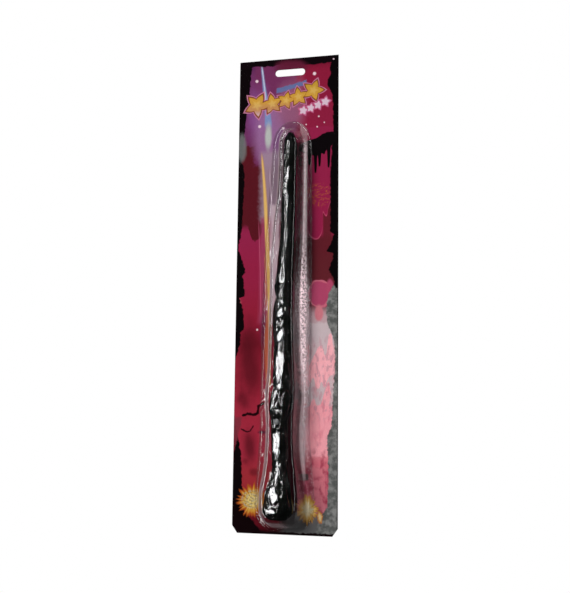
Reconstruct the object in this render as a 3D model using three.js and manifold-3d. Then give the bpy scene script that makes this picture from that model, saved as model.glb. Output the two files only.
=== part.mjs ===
// A light-and-sound magic wand on a hanging card under a clear blister.
//
// The wand is a gnarled, two-piece plastic moulding. Its handle holds a press button, a small
// circuit board and three button cells behind a screwed door, the pommel holds a speaker, and a
// light-emitting diode looks out of the tip. The wand stands upright in a thermoformed blister
// that is sealed to a flat card with a hang slot.
//
// Units are millimetres, +Z is up and the card's printed face looks along -Y. The origin is the
// middle of the card's bottom edge in X and Z, and the middle of the pack's depth in Y.
// Inside the wand's own group +Z runs from the pommel to the tip and -Y is the button side.

import * as THREE from 'three';
import { mergeVertices } from 'three/addons/utils/BufferGeometryUtils.js';
import Module from 'manifold-3d';

const wasm = await Module();
wasm.setup();

// ---- driving dimensions -------------------------------------------------------------------

const CARD = { width: 100, height: 460, thickness: 0.5, cornerWidth: 5, cornerHeight: 7 };
const HANG_SLOT = { x: 1.5, z: 445.5, width: 30, height: 7 };
const PACK_DEPTH = 34;
const CARD_BACK = PACK_DEPTH / 2;
const CARD_FRONT = CARD_BACK - CARD.thickness;

const BLISTER = { sheet: 0.5, sealGap: 0.1, edgeRadius: 4.5, sideSteps: 36, foldShort: 8.5 };
const TAPER = { x: 0.22, z: 0.042, middleX: 1, middleZ: 197 }; // of the dome, card to front

const WAND = { length: 363, footX: -2.7, footZ: 15.4, leanDegrees: 1.42, rollDegrees: -14 };
const WALL = 1.3;
const SEAM = 0.2; // between the two half shells
const FIT = 0.3; // between neighbouring pieces inside the wand
const OUTSIDE = 15; // beyond the wand's surface, for what is trimmed to it afterwards

const CAVITY = { bottom: 2.2, top: 353 };
const LED = { radius: 2.5, flangeRadius: 3.1, flange: 1.1, seat: CAVITY.top - FIT, hole: 2.8 };

const BUTTON = { height: 87.7, radius: 2.4, hole: 2.7, top: -8.1, flangeRadius: 3.4 };
const BUTTON_FLANGE = [-5.9, -5.3]; // front and back
const PAD = { radius: 4.4, front: -7.4, back: -6.2 }; // thickens the shell round the button
const DISH = { halfWidth: 4.2, depth: 1.2, halfHeight: 6.2, surface: -8 };

const BOARD = { x: -0.9, halfWidth: 4.6, bottom: 66, top: 97, front: -0.9, back: 0.1 };
const SWITCH = { half: 3, front: -4.2, back: BOARD.front - FIT, bore: 2, boreFloor: -2.2 };
const PLUNGER = { radius: 1.6, front: -5, back: -3.6 };
const CHIP = { radius: 2.8, height: 1.2, z: 76 };
const RESISTOR = { radius: 0.9, bottom: 84, top: 89, aside: 2.2 };
const LEAD = { half: 0.25, aside: 1.27, length: 5 };

const CELL = { radius: 5.8, height: 5.4, gap: 0.15, count: 3, bottom: 99.6, y: 0.8 };
const CELLS_TOP = CELL.bottom + CELL.count * CELL.height + (CELL.count - 1) * CELL.gap;
const CONTACT = { half: 3.8, thickness: 0.4 };
const RIB = { half: 4, back: -0.4, thickness: 0.8, gap: 0.6 }; // outside each contact plate
const SPRING = { radius: 2.8, wire: 0.3, turns: 3, bottom: CELLS_TOP + 0.6, top: CELLS_TOP + 2.6 };

const DOOR = { bottom: 97, top: 126.5, halfWidth: 5.9, inside: 1.5, screwHeight: 123.2 };
const DOOR_SCREW = { seat: 5.5, tip: -3, boss: 3.8, shoulder: 5.2, frontBoss: 3.4, frontRadius: 2.2 };
const SCREW_HEIGHTS = [27, 135, 228, 322];
const SCREW = { headRadius: 1.6, head: 1.1, shankRadius: 0.85, seat: 2.3, tip: -4 };
const BOSS = { radius: 2.6, counterbore: 2, clearance: 1.15, shoulder: 2, pilotFloor: -4.4 };

const SPEAKER = { radius: 9.8, bottom: 4.2, top: 7.2, magnetRadius: 5.5, magnetTop: 10.6 };
const GRILLE = { hole: 0.9, ringRadius: 4.6, ringCount: 6 };
const WIRE = { radius: 0.4, halfSides: 3 };

// Paths of the tip's two wires, as [height, reach to the side, y].
const ROUND_CELLS = [[97.2, 5.6, 0.8], [99.2, 6.7, 0.7], [110, 6.8, 0.4], [116.2, 6.5, 0.3]];
const PAST_BOSSES = [
  [121, 4.7, 0.1], [126, 4.1, 0], [160, 3.8, 0], [202, 3.7, 0], [240, 3.7, 0], [280, 3.7, 0],
  [324, 3.7, 0],
];

// Paths of the negative and the positive battery wire, as [reach to the side, height].
const UNDER_CELLS = [[3, 96], [4.6, 98.8]];
const BESIDE_CELLS = [[3.4, 95.6], [6.3, 99], [6.4, 108], [6.2, 115.4], [4.7, 119.2]];

// Radius of the wand at heights above its foot: a flared pommel, a narrow neck, the swollen
// handle with its collar, two knotty swellings and a slim, blunt shaft.
const WAND_RADII = [
  [0, 8.4], [3.4, 12], [8.2, 13.4], [14.4, 12.3], [21.6, 11], [30.5, 9.3], [39.5, 7.1], [53, 7.2],
  [71, 7.4], [88, 8], [103, 10.1], [112, 9.5], [120, 8], [128, 8.4], [140, 7.8], [163, 9.1],
  [179, 9.7], [202, 7.8], [216, 8.3], [240, 8.9], [264, 7.9], [298, 7.3], [332, 6.5], [347, 6.3],
  [357, 5.3], [362, 2.8],
];

// Sideways wander of the wand's centre line at heights above its foot, as in a grown branch.
const WAND_WANDER = [
  [0, 0], [30, 0.4], [53, 0.8], [88, -1.1], [112, 0.4], [140, -0.6], [163, -0.1], [202, -1.7],
  [240, 1.1], [264, 1.5], [298, 1.1], [363, 0],
];

/** Points on a stretch of an ellipse, its two angles in degrees. */
const arc = ([x, z], [radiusX, radiusZ], from, to, count) => (
  Array.from({ length: count + 1 }, (_, i) => {
    const angle = THREE.MathUtils.degToRad(from + ((to - from) * i) / count);
    return [x + radiusX * Math.cos(angle), z + radiusZ * Math.sin(angle)];
  })
);

// Outline of the blister's dome where it leaves the flange, in two halves that both run from the
// bottom to the top. They share their first and last points.
const DOME_BOTTOM = [0, 6];
const DOME_TOP = { centre: [6, 370], radii: [11, 17.5] };
const DOME_RIGHT = [
  DOME_BOTTOM, ...arc([8, 21], [14.4, 15], -90, 0, 4),
  [22.6, 34], [20.2, 50], [17.2, 70], [16.4, 97], [18.3, 125], [17.2, 146], [15.6, 186],
  [14.8, 218], [15.3, 250], [16.2, 282], [16.9, 322], [17, 350],
  ...arc(DOME_TOP.centre, DOME_TOP.radii, 0, 90, 4),
];
const DOME_LEFT = [
  DOME_BOTTOM, ...arc([-8, 21], [13.6, 15], -90, -180, 4),
  [-21.3, 34], [-18.6, 50], [-16.6, 70], [-15.5, 97], [-16.8, 125], [-14.8, 150], [-13.6, 200],
  [-13, 255], [-10.2, 292], [-6.4, 322], [-5, 350],
  ...arc(DOME_TOP.centre, DOME_TOP.radii, 180, 90, 4),
];

// How far forward the dome's front stands, as [height up the card, y]: it follows the wand.
const DOME_FRONT = [
  [0, -17], [45, -16.6], [62, -12.6], [95, -12.2], [104, -12.7], [118, -13.2], [128, -12.8],
  [146, -11.5], [178, -12.6], [196, -12.6], [217, -11.4], [232, -11.6], [255, -12.1], [280, -11.1],
  [320, -10.3], [350, -9.9], [375, -9.5], [400, -9.2],
];

// Outline of the flange that is sealed to the card.
const FLANGE_OUTLINE = [
  ...arc([8, 22], [19.6, 19.6], -90, 0, 4),
  [28, 36], [26, 60], [23.6, 95], [24.4, 140], [24.6, 215], [24.4, 290], [24, 355],
  ...arc([4.1, 371], [19.5, 24], 0, 180, 8),
  [-16, 355], [-20.4, 290], [-23.4, 215], [-24.2, 140], [-24.6, 95], [-26.4, 60], [-28, 36],
  ...arc([-8, 22], [19.6, 19.6], 180, 270, 4),
];

const COLOURS = {
  blackPlastic: 0x0d120e,
  button: 0x1b211d,
  clearSheet: 0xf4f4f6,
  card: 0x8a1c3c,
  steel: 0xb9bcc0,
  copperBoard: 0x2f6b3c,
  epoxy: 0x0a0a0a,
  paper: 0xc9b48c,
  redWire: 0xb01818,
  blackWire: 0x161616,
  resistor: 0xc8a878,
  lens: 0xe8f0f4,
};

// ---- solids -------------------------------------------------------------------------------

/** Weld a closed geometry's corners, drop its collapsed faces and turn its faces outward. */
function weld(geometry) {
  const bare = geometry.clone();
  bare.deleteAttribute('normal');
  bare.deleteAttribute('uv');
  const welded = mergeVertices(bare, 1e-4);
  const index = welded.index.array;
  const position = welded.attributes.position;
  const corner = (i) => new THREE.Vector3().fromBufferAttribute(position, i);
  const faces = [];
  let volume = 0;
  for (let i = 0; i < index.length; i += 3) {
    const [a, b, c] = [index[i], index[i + 1], index[i + 2]];
    if (a === b || b === c || c === a) continue;
    faces.push([a, b, c]);
    volume += corner(a).dot(corner(b).cross(corner(c)));
  }
  const outward = volume < 0 ? faces.map(([a, b, c]) => [a, c, b]) : faces;
  welded.setIndex(outward.flat());
  return welded;
}

function toSolid(geometry) {
  const welded = weld(geometry);
  return new wasm.Manifold(new wasm.Mesh({
    numProp: 3,
    vertProperties: Float32Array.from(welded.attributes.position.array),
    triVerts: Uint32Array.from(welded.index.array),
  }));
}

function toGeometry(solid) {
  const mesh = solid.getMesh();
  const geometry = new THREE.BufferGeometry();
  geometry.setAttribute('position', new THREE.BufferAttribute(mesh.vertProperties, 3));
  geometry.setIndex(new THREE.BufferAttribute(mesh.triVerts, 1));
  return geometry;
}

const joined = (solids) => solids.reduce((whole, solid) => whole.add(solid));
const cut = (solid, tools) => tools.reduce((rest, tool) => rest.subtract(tool), solid);

function box([x0, x1], [y0, y1], [z0, z1]) {
  const geometry = new THREE.BoxGeometry(x1 - x0, y1 - y0, z1 - z0);
  return geometry.translate((x0 + x1) / 2, (y0 + y1) / 2, (z0 + z1) / 2);
}

/** A cylinder along Y from y0 to y1, centred on x and z. */
function rodY(radius, y0, y1, x, z, segments = 14) {
  const geometry = new THREE.CylinderGeometry(radius, radius, y1 - y0, segments);
  return geometry.translate(x, (y0 + y1) / 2, z);
}

/** A cylinder along Z from z0 to z1, centred on x and y. */
function rodZ(radius, z0, z1, x, y, segments = 14) {
  const geometry = new THREE.CylinderGeometry(radius, radius, z1 - z0, segments);
  return geometry.rotateX(Math.PI / 2).translate(x, y, (z0 + z1) / 2);
}

/** Revolve a profile of [radius, height] points about Z. */
function turned(profile, segments) {
  const points = profile.map(([radius, height]) => new THREE.Vector2(radius, height));
  return new THREE.LatheGeometry(points, segments).rotateX(Math.PI / 2);
}

/** A round wire along a smooth path through the given points. */
function wire(points, radius, steps) {
  const path = new THREE.CatmullRomCurve3(points.map((point) => new THREE.Vector3(...point)));
  const section = new THREE.Shape().absarc(0, 0, radius, 0, 2 * Math.PI);
  return new THREE.ExtrudeGeometry(section, {
    steps, bevelEnabled: false, extrudePath: path, curveSegments: WIRE.halfSides,
  });
}

// ---- wand form ----------------------------------------------------------------------------

/** Read a smooth curve through [height, value] pairs at one height. */
function valueAt(table, height) {
  const last = table.length - 1;
  if (height <= table[0][0]) return table[0][1];
  if (height >= table[last][0]) return table[last][1];
  const i = table.findIndex(([h]) => h > height) - 1;
  const at = (k) => table[Math.min(Math.max(k, 0), last)];
  const slope = (k) => (at(k + 1)[1] - at(k - 1)[1]) / (at(k + 1)[0] - at(k - 1)[0]);
  const span = at(i + 1)[0] - at(i)[0];
  const t = (height - at(i)[0]) / span;
  const rise = at(i + 1)[1] - at(i)[1];
  const [m0, m1] = [slope(i) * span, slope(i + 1) * span];
  return at(i)[1] + t * m0 + t * t * (3 * rise - 2 * m0 - m1) + t * t * t * (m0 + m1 - 2 * rise);
}

/** Heights from bottom to top that keep every bend of the wand, at most step apart. */
function stations(bottom, top, step) {
  const bends = WAND_RADII.map(([bend]) => bend).filter((bend) => bend > bottom && bend < top);
  const marks = [bottom, ...bends, top];
  return marks.flatMap((height, i) => {
    if (i === marks.length - 1) return [height];
    const parts = Math.ceil((marks[i + 1] - height) / step);
    return Array.from({ length: parts }, (_, k) => height + ((marks[i + 1] - height) * k) / parts);
  });
}

const wandRadius = (height) => valueAt(WAND_RADII, height);
const wandCentre = (height) => valueAt(WAND_WANDER, height);

/** Shift every point of a geometry sideways by the wand's wander at its height. */
function wander(geometry) {
  const position = geometry.attributes.position;
  for (let i = 0; i < position.count; i += 1) {
    position.setX(i, position.getX(i) + wandCentre(position.getZ(i)));
  }
  return geometry;
}

/** The wand's outer form, with shallow lengthwise ridges that twist slowly around it. */
function wandForm() {
  const ridge = { depth: 0.22, count: 5, twist: 0.035 };
  const end = WAND.length - 0.6;
  const side = stations(0, end, 13).map((height) => [wandRadius(height), height]);
  const geometry = turned([[0, 0], ...side, [0, end]], 28);
  const position = geometry.attributes.position;
  for (let i = 0; i < position.count; i += 1) {
    const [x, y, z] = [position.getX(i), position.getY(i), position.getZ(i)];
    const radius = Math.hypot(x, y);
    if (radius < 1 || z < 1) continue;
    const wave = Math.cos(ridge.count * Math.atan2(y, x) + ridge.twist * z);
    const scale = 1 - ridge.depth * (1 - wave) / radius;
    position.setXY(i, x * scale, y * scale);
  }
  return toSolid(wander(geometry));
}

/** The hollow inside the wand, one wall thickness in from the form. */
function wandHollow() {
  const heights = stations(CAVITY.bottom, CAVITY.top, 20);
  const side = heights.map((height) => [wandRadius(height) - WALL, height]);
  return toSolid(wander(turned([[0, CAVITY.bottom], ...side, [0, CAVITY.top]], 16)));
}

/** A solid rod along Y whose middle is on the wand's centre line at a height. */
const rodAt = (height, radius, y0, y1, segments) => (
  toSolid(rodY(radius, y0, y1, wandCentre(height), height, segments)));

// ---- half shells --------------------------------------------------------------------------

function grilleHoles() {
  const holes = [rodZ(GRILLE.hole, -1, CAVITY.bottom + 1, 0, 0, 10)];
  for (let i = 0; i < GRILLE.ringCount; i += 1) {
    const angle = (2 * Math.PI * (i + 0.5)) / GRILLE.ringCount;
    const [x, y] = [GRILLE.ringRadius * Math.cos(angle), GRILLE.ringRadius * Math.sin(angle)];
    holes.push(rodZ(GRILLE.hole, -1, CAVITY.bottom + 1, x, y, 10));
  }
  return holes.map(toSolid);
}

const ledHole = () => toSolid(rodZ(LED.hole, CAVITY.top - 1, WAND.length + 1, 0, 0));

/** The half of a solid on the button side (-1) or the door side (+1) of the seam. */
function halfOf(solid, side) {
  const reach = 30;
  const [y0, y1] = side < 0 ? [-reach, -SEAM / 2] : [SEAM / 2, reach];
  return solid.intersect(toSolid(box([-reach, reach], [y0, y1], [-1, WAND.length + 1])));
}

/** The two ribs across the front shell that hold the contact plates up against the cells. */
function contactRibs() {
  const lower = CELL.bottom - FIT - CONTACT.thickness - RIB.gap - RIB.thickness;
  const upper = SPRING.top + FIT + CONTACT.thickness + RIB.gap;
  return [lower, upper].map((height) => (
    toSolid(box([-RIB.half, RIB.half], [-OUTSIDE, RIB.back], [height, height + RIB.thickness]))));
}

function frontShell(form, hollow) {
  const fittings = joined([
    ...SCREW_HEIGHTS.map((height) => rodAt(height, BOSS.radius, -OUTSIDE, -SEAM / 2)),
    rodAt(DOOR.screwHeight, DOOR_SCREW.frontRadius, -OUTSIDE, DOOR_SCREW.frontBoss),
    rodAt(BUTTON.height, PAD.radius, PAD.front, PAD.back, 20),
    ...contactRibs(),
  ]).intersect(form);
  const dish = new THREE.SphereGeometry(1, 16, 10);
  dish.scale(DISH.halfWidth, DISH.depth, DISH.halfHeight);
  dish.translate(wandCentre(BUTTON.height), DISH.surface, BUTTON.height);
  const pocketFront = BUTTON_FLANGE[0] - FIT;
  return cut(halfOf(form.subtract(hollow), -1).add(fittings), [
    ...[...SCREW_HEIGHTS, DOOR.screwHeight].map((height) => (
      rodAt(height, BOSS.clearance, BOSS.pilotFloor, -BOSS.pilotFloor, 10))),
    toSolid(dish),
    rodAt(BUTTON.height, BUTTON.hole, -OUTSIDE, PAD.back, 20),
    rodAt(BUTTON.height, BUTTON.flangeRadius + FIT, pocketFront, BOSS.pilotFloor, 20),
    ledHole(),
    ...grilleHoles(),
  ]);
}

function doorBlock(clearance) {
  const half = DOOR.halfWidth + clearance;
  const middle = wandCentre((DOOR.bottom + DOOR.top) / 2);
  return toSolid(box(
    [middle - half, middle + half],
    [DOOR.inside, OUTSIDE],
    [DOOR.bottom - clearance, DOOR.top + clearance],
  ));
}

function rearShell(form, hollow) {
  const bosses = SCREW_HEIGHTS.map((height) => rodAt(height, BOSS.radius, SEAM / 2, OUTSIDE));
  const bores = SCREW_HEIGHTS.flatMap((height) => [
    rodAt(height, BOSS.clearance, -1, OUTSIDE, 10),
    rodAt(height, BOSS.counterbore, BOSS.shoulder, OUTSIDE),
  ]);
  const tray = halfOf(form.subtract(hollow), 1).add(joined(bosses).intersect(form));
  return cut(tray, [...bores, doorBlock(FIT), ledHole(), ...grilleHoles()]);
}

function batteryDoor(form, hollow) {
  const boss = rodAt(DOOR.screwHeight, BOSS.radius, DOOR_SCREW.boss, OUTSIDE).intersect(form);
  const panel = form.subtract(hollow).add(boss).intersect(doorBlock(0));
  return cut(panel, [
    rodAt(DOOR.screwHeight, BOSS.clearance, DOOR.inside, OUTSIDE, 10),
    rodAt(DOOR.screwHeight, BOSS.counterbore, DOOR_SCREW.shoulder, OUTSIDE),
  ]);
}

/** A cross-head screw pointing along -Y, its head's underside at y = seat. */
function screw(height, { seat, tip }) {
  const x = wandCentre(height);
  const top = seat + SCREW.head;
  const slot = { half: 1.05, width: 0.2, depth: 0.5 };
  const bar = (halfX, halfZ) => toSolid(box(
    [x - halfX, x + halfX],
    [top - slot.depth, top + 1],
    [height - halfZ, height + halfZ],
  ));
  const head = rodAt(height, SCREW.headRadius, seat, top);
  const shank = rodAt(height, SCREW.shankRadius, tip, seat + SCREW.head / 2, 10);
  return cut(head.add(shank), [bar(slot.half, slot.width), bar(slot.width, slot.half)]);
}

// ---- button and electronics ---------------------------------------------------------------

function pushButton() {
  const domeHeight = 0.5;
  const [flangeTop, flangeBottom] = BUTTON_FLANGE.map((y) => -y);
  const profile = [
    [0, flangeBottom], [BUTTON.flangeRadius, flangeBottom], [BUTTON.flangeRadius, flangeTop],
    [BUTTON.radius, flangeTop], [BUTTON.radius, -BUTTON.top - domeHeight],
    [BUTTON.radius * 0.8, -BUTTON.top - domeHeight * 0.35], [BUTTON.radius * 0.4, -BUTTON.top],
    [0, -BUTTON.top],
  ];
  const button = turned(profile, 22).rotateX(Math.PI / 2);
  return button.translate(wandCentre(BUTTON.height), 0, BUTTON.height);
}

function switchBody() {
  const x = wandCentre(BUTTON.height);
  const block = box([x - SWITCH.half, x + SWITCH.half], [SWITCH.front, SWITCH.back],
    [BUTTON.height - SWITCH.half, BUTTON.height + SWITCH.half]);
  const bore = rodAt(BUTTON.height, SWITCH.bore, SWITCH.front - 1, SWITCH.boreFloor);
  return toSolid(block).subtract(bore);
}

const plunger = () => rodAt(BUTTON.height, PLUNGER.radius, PLUNGER.front, PLUNGER.back);

const circuitBoard = () => box([BOARD.x - BOARD.halfWidth, BOARD.x + BOARD.halfWidth],
  [BOARD.front, BOARD.back], [BOARD.bottom, BOARD.top]);

/** The blob of black epoxy over the bonded sound chip. */
function soundChip() {
  const profile = [[0, 0], [CHIP.radius, 0], [CHIP.radius * 0.9, CHIP.height * 0.45],
    [CHIP.radius * 0.55, CHIP.height * 0.88], [0, CHIP.height]];
  return turned(profile, 20).rotateX(-Math.PI / 2).translate(BOARD.x, BOARD.back + FIT, CHIP.z);
}

const resistor = () => rodZ(RESISTOR.radius, RESISTOR.bottom, RESISTOR.top,
  BOARD.x + RESISTOR.aside, BOARD.back + FIT + RESISTOR.radius);

function tipLed() {
  const shoulder = WAND.length - LED.radius;
  const profile = [
    [0, LED.seat - LED.flange], [LED.flangeRadius, LED.seat - LED.flange],
    [LED.flangeRadius, LED.seat], [LED.radius, LED.seat], [LED.radius, shoulder],
  ];
  for (let i = 1; i < 5; i += 1) {
    const angle = (Math.PI / 2) * (i / 5);
    profile.push([LED.radius * Math.cos(angle), shoulder + LED.radius * Math.sin(angle)]);
  }
  profile.push([0, WAND.length]);
  return turned(profile, 20);
}

const leadTop = LED.seat - LED.flange - 0.1;

function ledLead(side) {
  const x = side * LEAD.aside;
  return box([x - LEAD.half, x + LEAD.half], [-LEAD.half, LEAD.half], [leadTop - LEAD.length, leadTop]);
}

/** A wire from the board, beside the cells and the screw bosses, to one lead of the diode. */
function ledWire(side) {
  return wire([
    [BOARD.x + side * (BOARD.halfWidth - 1.2), BOARD.back + FIT + WIRE.radius, BOARD.top - 3],
    ...ROUND_CELLS.map(([height, reach, y]) => [batteryX() + side * reach, y, height]),
    ...PAST_BOSSES.map(([height, reach, y]) => [wandCentre(height) + side * reach, y, height]),
    [side * 1.6, 0, leadTop - LEAD.length - 7.5],
    [side * LEAD.aside, 0, leadTop - LEAD.length - 0.4],
  ], WIRE.radius, 30);
}

function speakerFrame() {
  const rim = 1.2;
  const profile = [
    [SPEAKER.magnetRadius - 2, SPEAKER.top - 0.8], [SPEAKER.radius - rim, SPEAKER.bottom + 0.8],
    [SPEAKER.radius - rim, SPEAKER.bottom], [SPEAKER.radius, SPEAKER.bottom],
    [SPEAKER.radius, SPEAKER.bottom + 1.2], [SPEAKER.magnetRadius + 0.6, SPEAKER.top],
    [SPEAKER.magnetRadius - 2, SPEAKER.top], [SPEAKER.magnetRadius - 2, SPEAKER.top - 0.8],
  ];
  return turned(profile, 26);
}

function speakerCone() {
  const edge = SPEAKER.radius - 1.6;
  const profile = [
    [0, SPEAKER.bottom + 1.1], [2.4, SPEAKER.bottom + 1.3], [edge, SPEAKER.bottom],
    [edge, SPEAKER.bottom + 0.3], [2.4, SPEAKER.bottom + 1.7], [0, SPEAKER.bottom + 1.5],
  ];
  return turned(profile, 24);
}

const speakerMagnet = () => rodZ(SPEAKER.magnetRadius, SPEAKER.top + FIT, SPEAKER.magnetTop, 0, 0, 28);

function speakerWire(side) {
  return wire([
    [side * 5.9, 2.2, SPEAKER.magnetTop - 1.6],
    [side * 6.3, 1.6, 17],
    [side * 4.4, 1, 27],
    [wandCentre(40) + side * 3.7, 0.9, 40],
    [wandCentre(54) + side * 3.2, 0.9, 54],
    [BOARD.x + side * 2.6, BOARD.back + FIT + WIRE.radius, 64],
    [BOARD.x + side * 2.6, BOARD.back + FIT + WIRE.radius, 69],
  ], WIRE.radius, 14);
}

// ---- battery ------------------------------------------------------------------------------

/** A button cell: a can with a slightly smaller cap on its lower, positive-contact side. */
function cell(number) {
  const bottom = CELL.bottom + number * (CELL.height + CELL.gap);
  const profile = [
    [0, bottom], [CELL.radius - 0.9, bottom], [CELL.radius - 0.9, bottom + 0.9],
    [CELL.radius, bottom + 1.1], [CELL.radius, bottom + CELL.height - 0.3],
    [CELL.radius - 0.3, bottom + CELL.height], [0, bottom + CELL.height],
  ];
  return turned(profile, 20).translate(batteryX(), CELL.y, 0);
}

const batteryX = () => wandCentre((CELL.bottom + CELLS_TOP) / 2);

const contactPlate = (bottom) => box([batteryX() - CONTACT.half, batteryX() + CONTACT.half],
  [CELL.y - CONTACT.half, CELL.y + CONTACT.half], [bottom, bottom + CONTACT.thickness]);

function batterySpring() {
  const steps = SPRING.turns * 9;
  const points = [];
  for (let i = 0; i <= steps; i += 1) {
    const t = i / steps;
    const angle = 2 * Math.PI * SPRING.turns * t;
    const radius = SPRING.radius * (0.6 + 0.4 * t);
    const height = SPRING.bottom + (SPRING.top - SPRING.bottom - 2 * SPRING.wire) * t + SPRING.wire;
    points.push([batteryX() + radius * Math.cos(angle), CELL.y + radius * Math.sin(angle), height]);
  }
  return wire(points, SPRING.wire, steps);
}

function batteryWire(side) {
  const y = 2.1;
  const start = [BOARD.x + side * 0.9, BOARD.back + FIT + WIRE.radius, BOARD.top - 5];
  const at = (reach, height) => [batteryX() + side * reach, y, height];
  const path = side < 0 ? UNDER_CELLS : BESIDE_CELLS;
  const points = [start, ...path.map(([reach, height]) => at(reach, height))];
  return wire(points, WIRE.radius, 3 * path.length);
}

// ---- pack ---------------------------------------------------------------------------------

function backingCard() {
  const half = CARD.width / 2;
  const outline = new THREE.Shape();
  outline.moveTo(-half + CARD.cornerWidth, 0);
  outline.lineTo(half - CARD.cornerWidth, 0);
  outline.lineTo(half, CARD.cornerHeight);
  outline.lineTo(half, CARD.height);
  outline.lineTo(-half, CARD.height);
  outline.lineTo(-half, CARD.cornerHeight);
  outline.closePath();
  const slot = new THREE.Path();
  const radius = HANG_SLOT.height / 2;
  const reach = HANG_SLOT.width / 2 - radius;
  slot.absarc(HANG_SLOT.x + reach, HANG_SLOT.z, radius, -Math.PI / 2, Math.PI / 2);
  slot.absarc(HANG_SLOT.x - reach, HANG_SLOT.z, radius, Math.PI / 2, (3 * Math.PI) / 2);
  slot.closePath();
  outline.holes.push(slot);
  return standing(new THREE.ExtrudeGeometry(outline, {
    depth: CARD.thickness, bevelEnabled: false, curveSegments: 10,
  }), CARD_BACK);
}

/** Stand a shape extruded from z = 0 up on edge, with its z = 0 face at y = back. */
const standing = (geometry, back) => geometry.rotateX(Math.PI / 2).translate(0, back, 0);

const curveThrough = (points, closed) => (
  new THREE.CatmullRomCurve3(points.map(([x, z]) => new THREE.Vector3(x, z, 0)), closed));

const smoothShape = (points, samples) => (
  new THREE.Shape(curveThrough(points, true).getSpacedPoints(samples).slice(0, -1)
    .map(({ x, y }) => new THREE.Vector2(x, y))));

/** The dome's outline as a loop of [x, z], up its right side and down its left, drawn in by inset. */
function domeLoop(inset) {
  const [right, left] = [DOME_RIGHT, DOME_LEFT].map((side) => (
    curveThrough(side, false).getSpacedPoints(BLISTER.sideSteps)));
  const loop = [...right, ...left.slice(1, -1).reverse()];
  return loop.map((point, i) => {
    const along = loop[(i + 1) % loop.length].clone().sub(loop.at(i - 1)).normalize();
    return [point.x - inset * along.y, point.y + inset * along.x];
  });
}

/** Draw a loop partly or fully (share = 1) in to the line midway between its two sides. */
function towardsMiddle(loop, share) {
  const heights = loop.map(([, z]) => z);
  const ends = [Math.min(...heights) + BLISTER.foldShort, Math.max(...heights) - BLISTER.foldShort];
  return loop.map(([x, z], i) => {
    const [otherX, otherZ] = loop[(loop.length - i) % loop.length];
    const middleZ = THREE.MathUtils.clamp((z + otherZ) / 2, ...ends);
    return [x + share * ((x + otherX) / 2 - x), z + share * (middleZ - z)];
  });
}

/** Place a loop at depth y: tapered to the front, and its depth scaled to follow the wand. */
function domeRing(loop, y) {
  const full = CARD_FRONT + PACK_DEPTH / 2;
  const rise = THREE.MathUtils.clamp((CARD_FRONT - y) / full, 0, 1);
  return loop.map(([x, z]) => {
    const height = TAPER.middleZ + (z - TAPER.middleZ) * (1 - TAPER.z * rise);
    const front = Math.max(valueAt(DOME_FRONT, height), -PACK_DEPTH / 2);
    const reach = (CARD_FRONT - front) / full;
    const depth = y < CARD_FRONT ? CARD_FRONT - (CARD_FRONT - y) * reach : y;
    return [TAPER.middleX + (x - TAPER.middleX) * (1 - TAPER.x * rise), depth, height];
  });
}

/** A closed block through rings of points. Its first and last rings are folded flat. */
function ringBlock(rings) {
  const count = rings[0].length;
  const index = [];
  for (let i = 0; i < rings.length - 1; i += 1) {
    for (let k = 0; k < count; k += 1) {
      const [a, b] = [i * count + k, i * count + ((k + 1) % count)];
      index.push(a, b, b + count, a, b + count, a + count);
    }
  }
  const geometry = new THREE.BufferGeometry();
  geometry.setAttribute('position', new THREE.Float32BufferAttribute(rings.flat(2), 3));
  geometry.setIndex(index);
  return geometry;
}

/** The dome filled up, to inset inside its outer face, from behind the card's face forwards. */
function domeBlock(inset) {
  const behind = CARD_FRONT + 4;
  const front = -PACK_DEPTH / 2 + inset;
  const round = BLISTER.edgeRadius - inset;
  const wall = domeLoop(inset);
  const rings = [
    domeRing(towardsMiddle(wall, 1), behind),
    domeRing(wall, behind),
    domeRing(wall, CARD_FRONT),
    domeRing(wall, front + round),
  ];
  for (const degrees of [30, 60, 85]) {
    const turn = THREE.MathUtils.degToRad(degrees);
    const edge = domeLoop(inset + round * (1 - Math.cos(turn)));
    rings.push(domeRing(edge, front + round * (1 - Math.sin(turn))));
  }
  const face = domeLoop(BLISTER.edgeRadius);
  rings.push(...[0.5, 1].map((share) => domeRing(towardsMiddle(face, share), front)));
  return toSolid(ringBlock(rings));
}

function blisterShell() {
  const back = CARD_FRONT - BLISTER.sealGap;
  const flange = standing(new THREE.ExtrudeGeometry(smoothShape(FLANGE_OUTLINE, 60), {
    depth: BLISTER.sheet, bevelEnabled: false,
  }), back);
  const behindFlange = toSolid(box([-CARD.width, CARD.width], [back, 2 * CARD_BACK], [0, CARD.height]));
  return toSolid(flange).add(domeBlock(0).subtract(behindFlange)).subtract(domeBlock(BLISTER.sheet));
}

// ---- assembly -----------------------------------------------------------------------------

const finishes = {
  blackPlastic: { color: COLOURS.blackPlastic, roughness: 0.18, metalness: 0 },
  button: { color: COLOURS.button, roughness: 0.35, metalness: 0 },
  clearSheet: { color: COLOURS.clearSheet, roughness: 0.05, transparent: true, opacity: 0.25 },
  card: { color: COLOURS.card, roughness: 0.3, metalness: 0 },
  steel: { color: COLOURS.steel, roughness: 0.3, metalness: 1 },
  board: { color: COLOURS.copperBoard, roughness: 0.45, metalness: 0 },
  epoxy: { color: COLOURS.epoxy, roughness: 0.3, metalness: 0 },
  paper: { color: COLOURS.paper, roughness: 0.8, metalness: 0 },
  redWire: { color: COLOURS.redWire, roughness: 0.5, metalness: 0 },
  blackWire: { color: COLOURS.blackWire, roughness: 0.5, metalness: 0 },
  resistor: { color: COLOURS.resistor, roughness: 0.5, metalness: 0 },
  lens: { color: COLOURS.lens, roughness: 0.05, metalness: 0, transparent: true, opacity: 0.5 },
};

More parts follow.
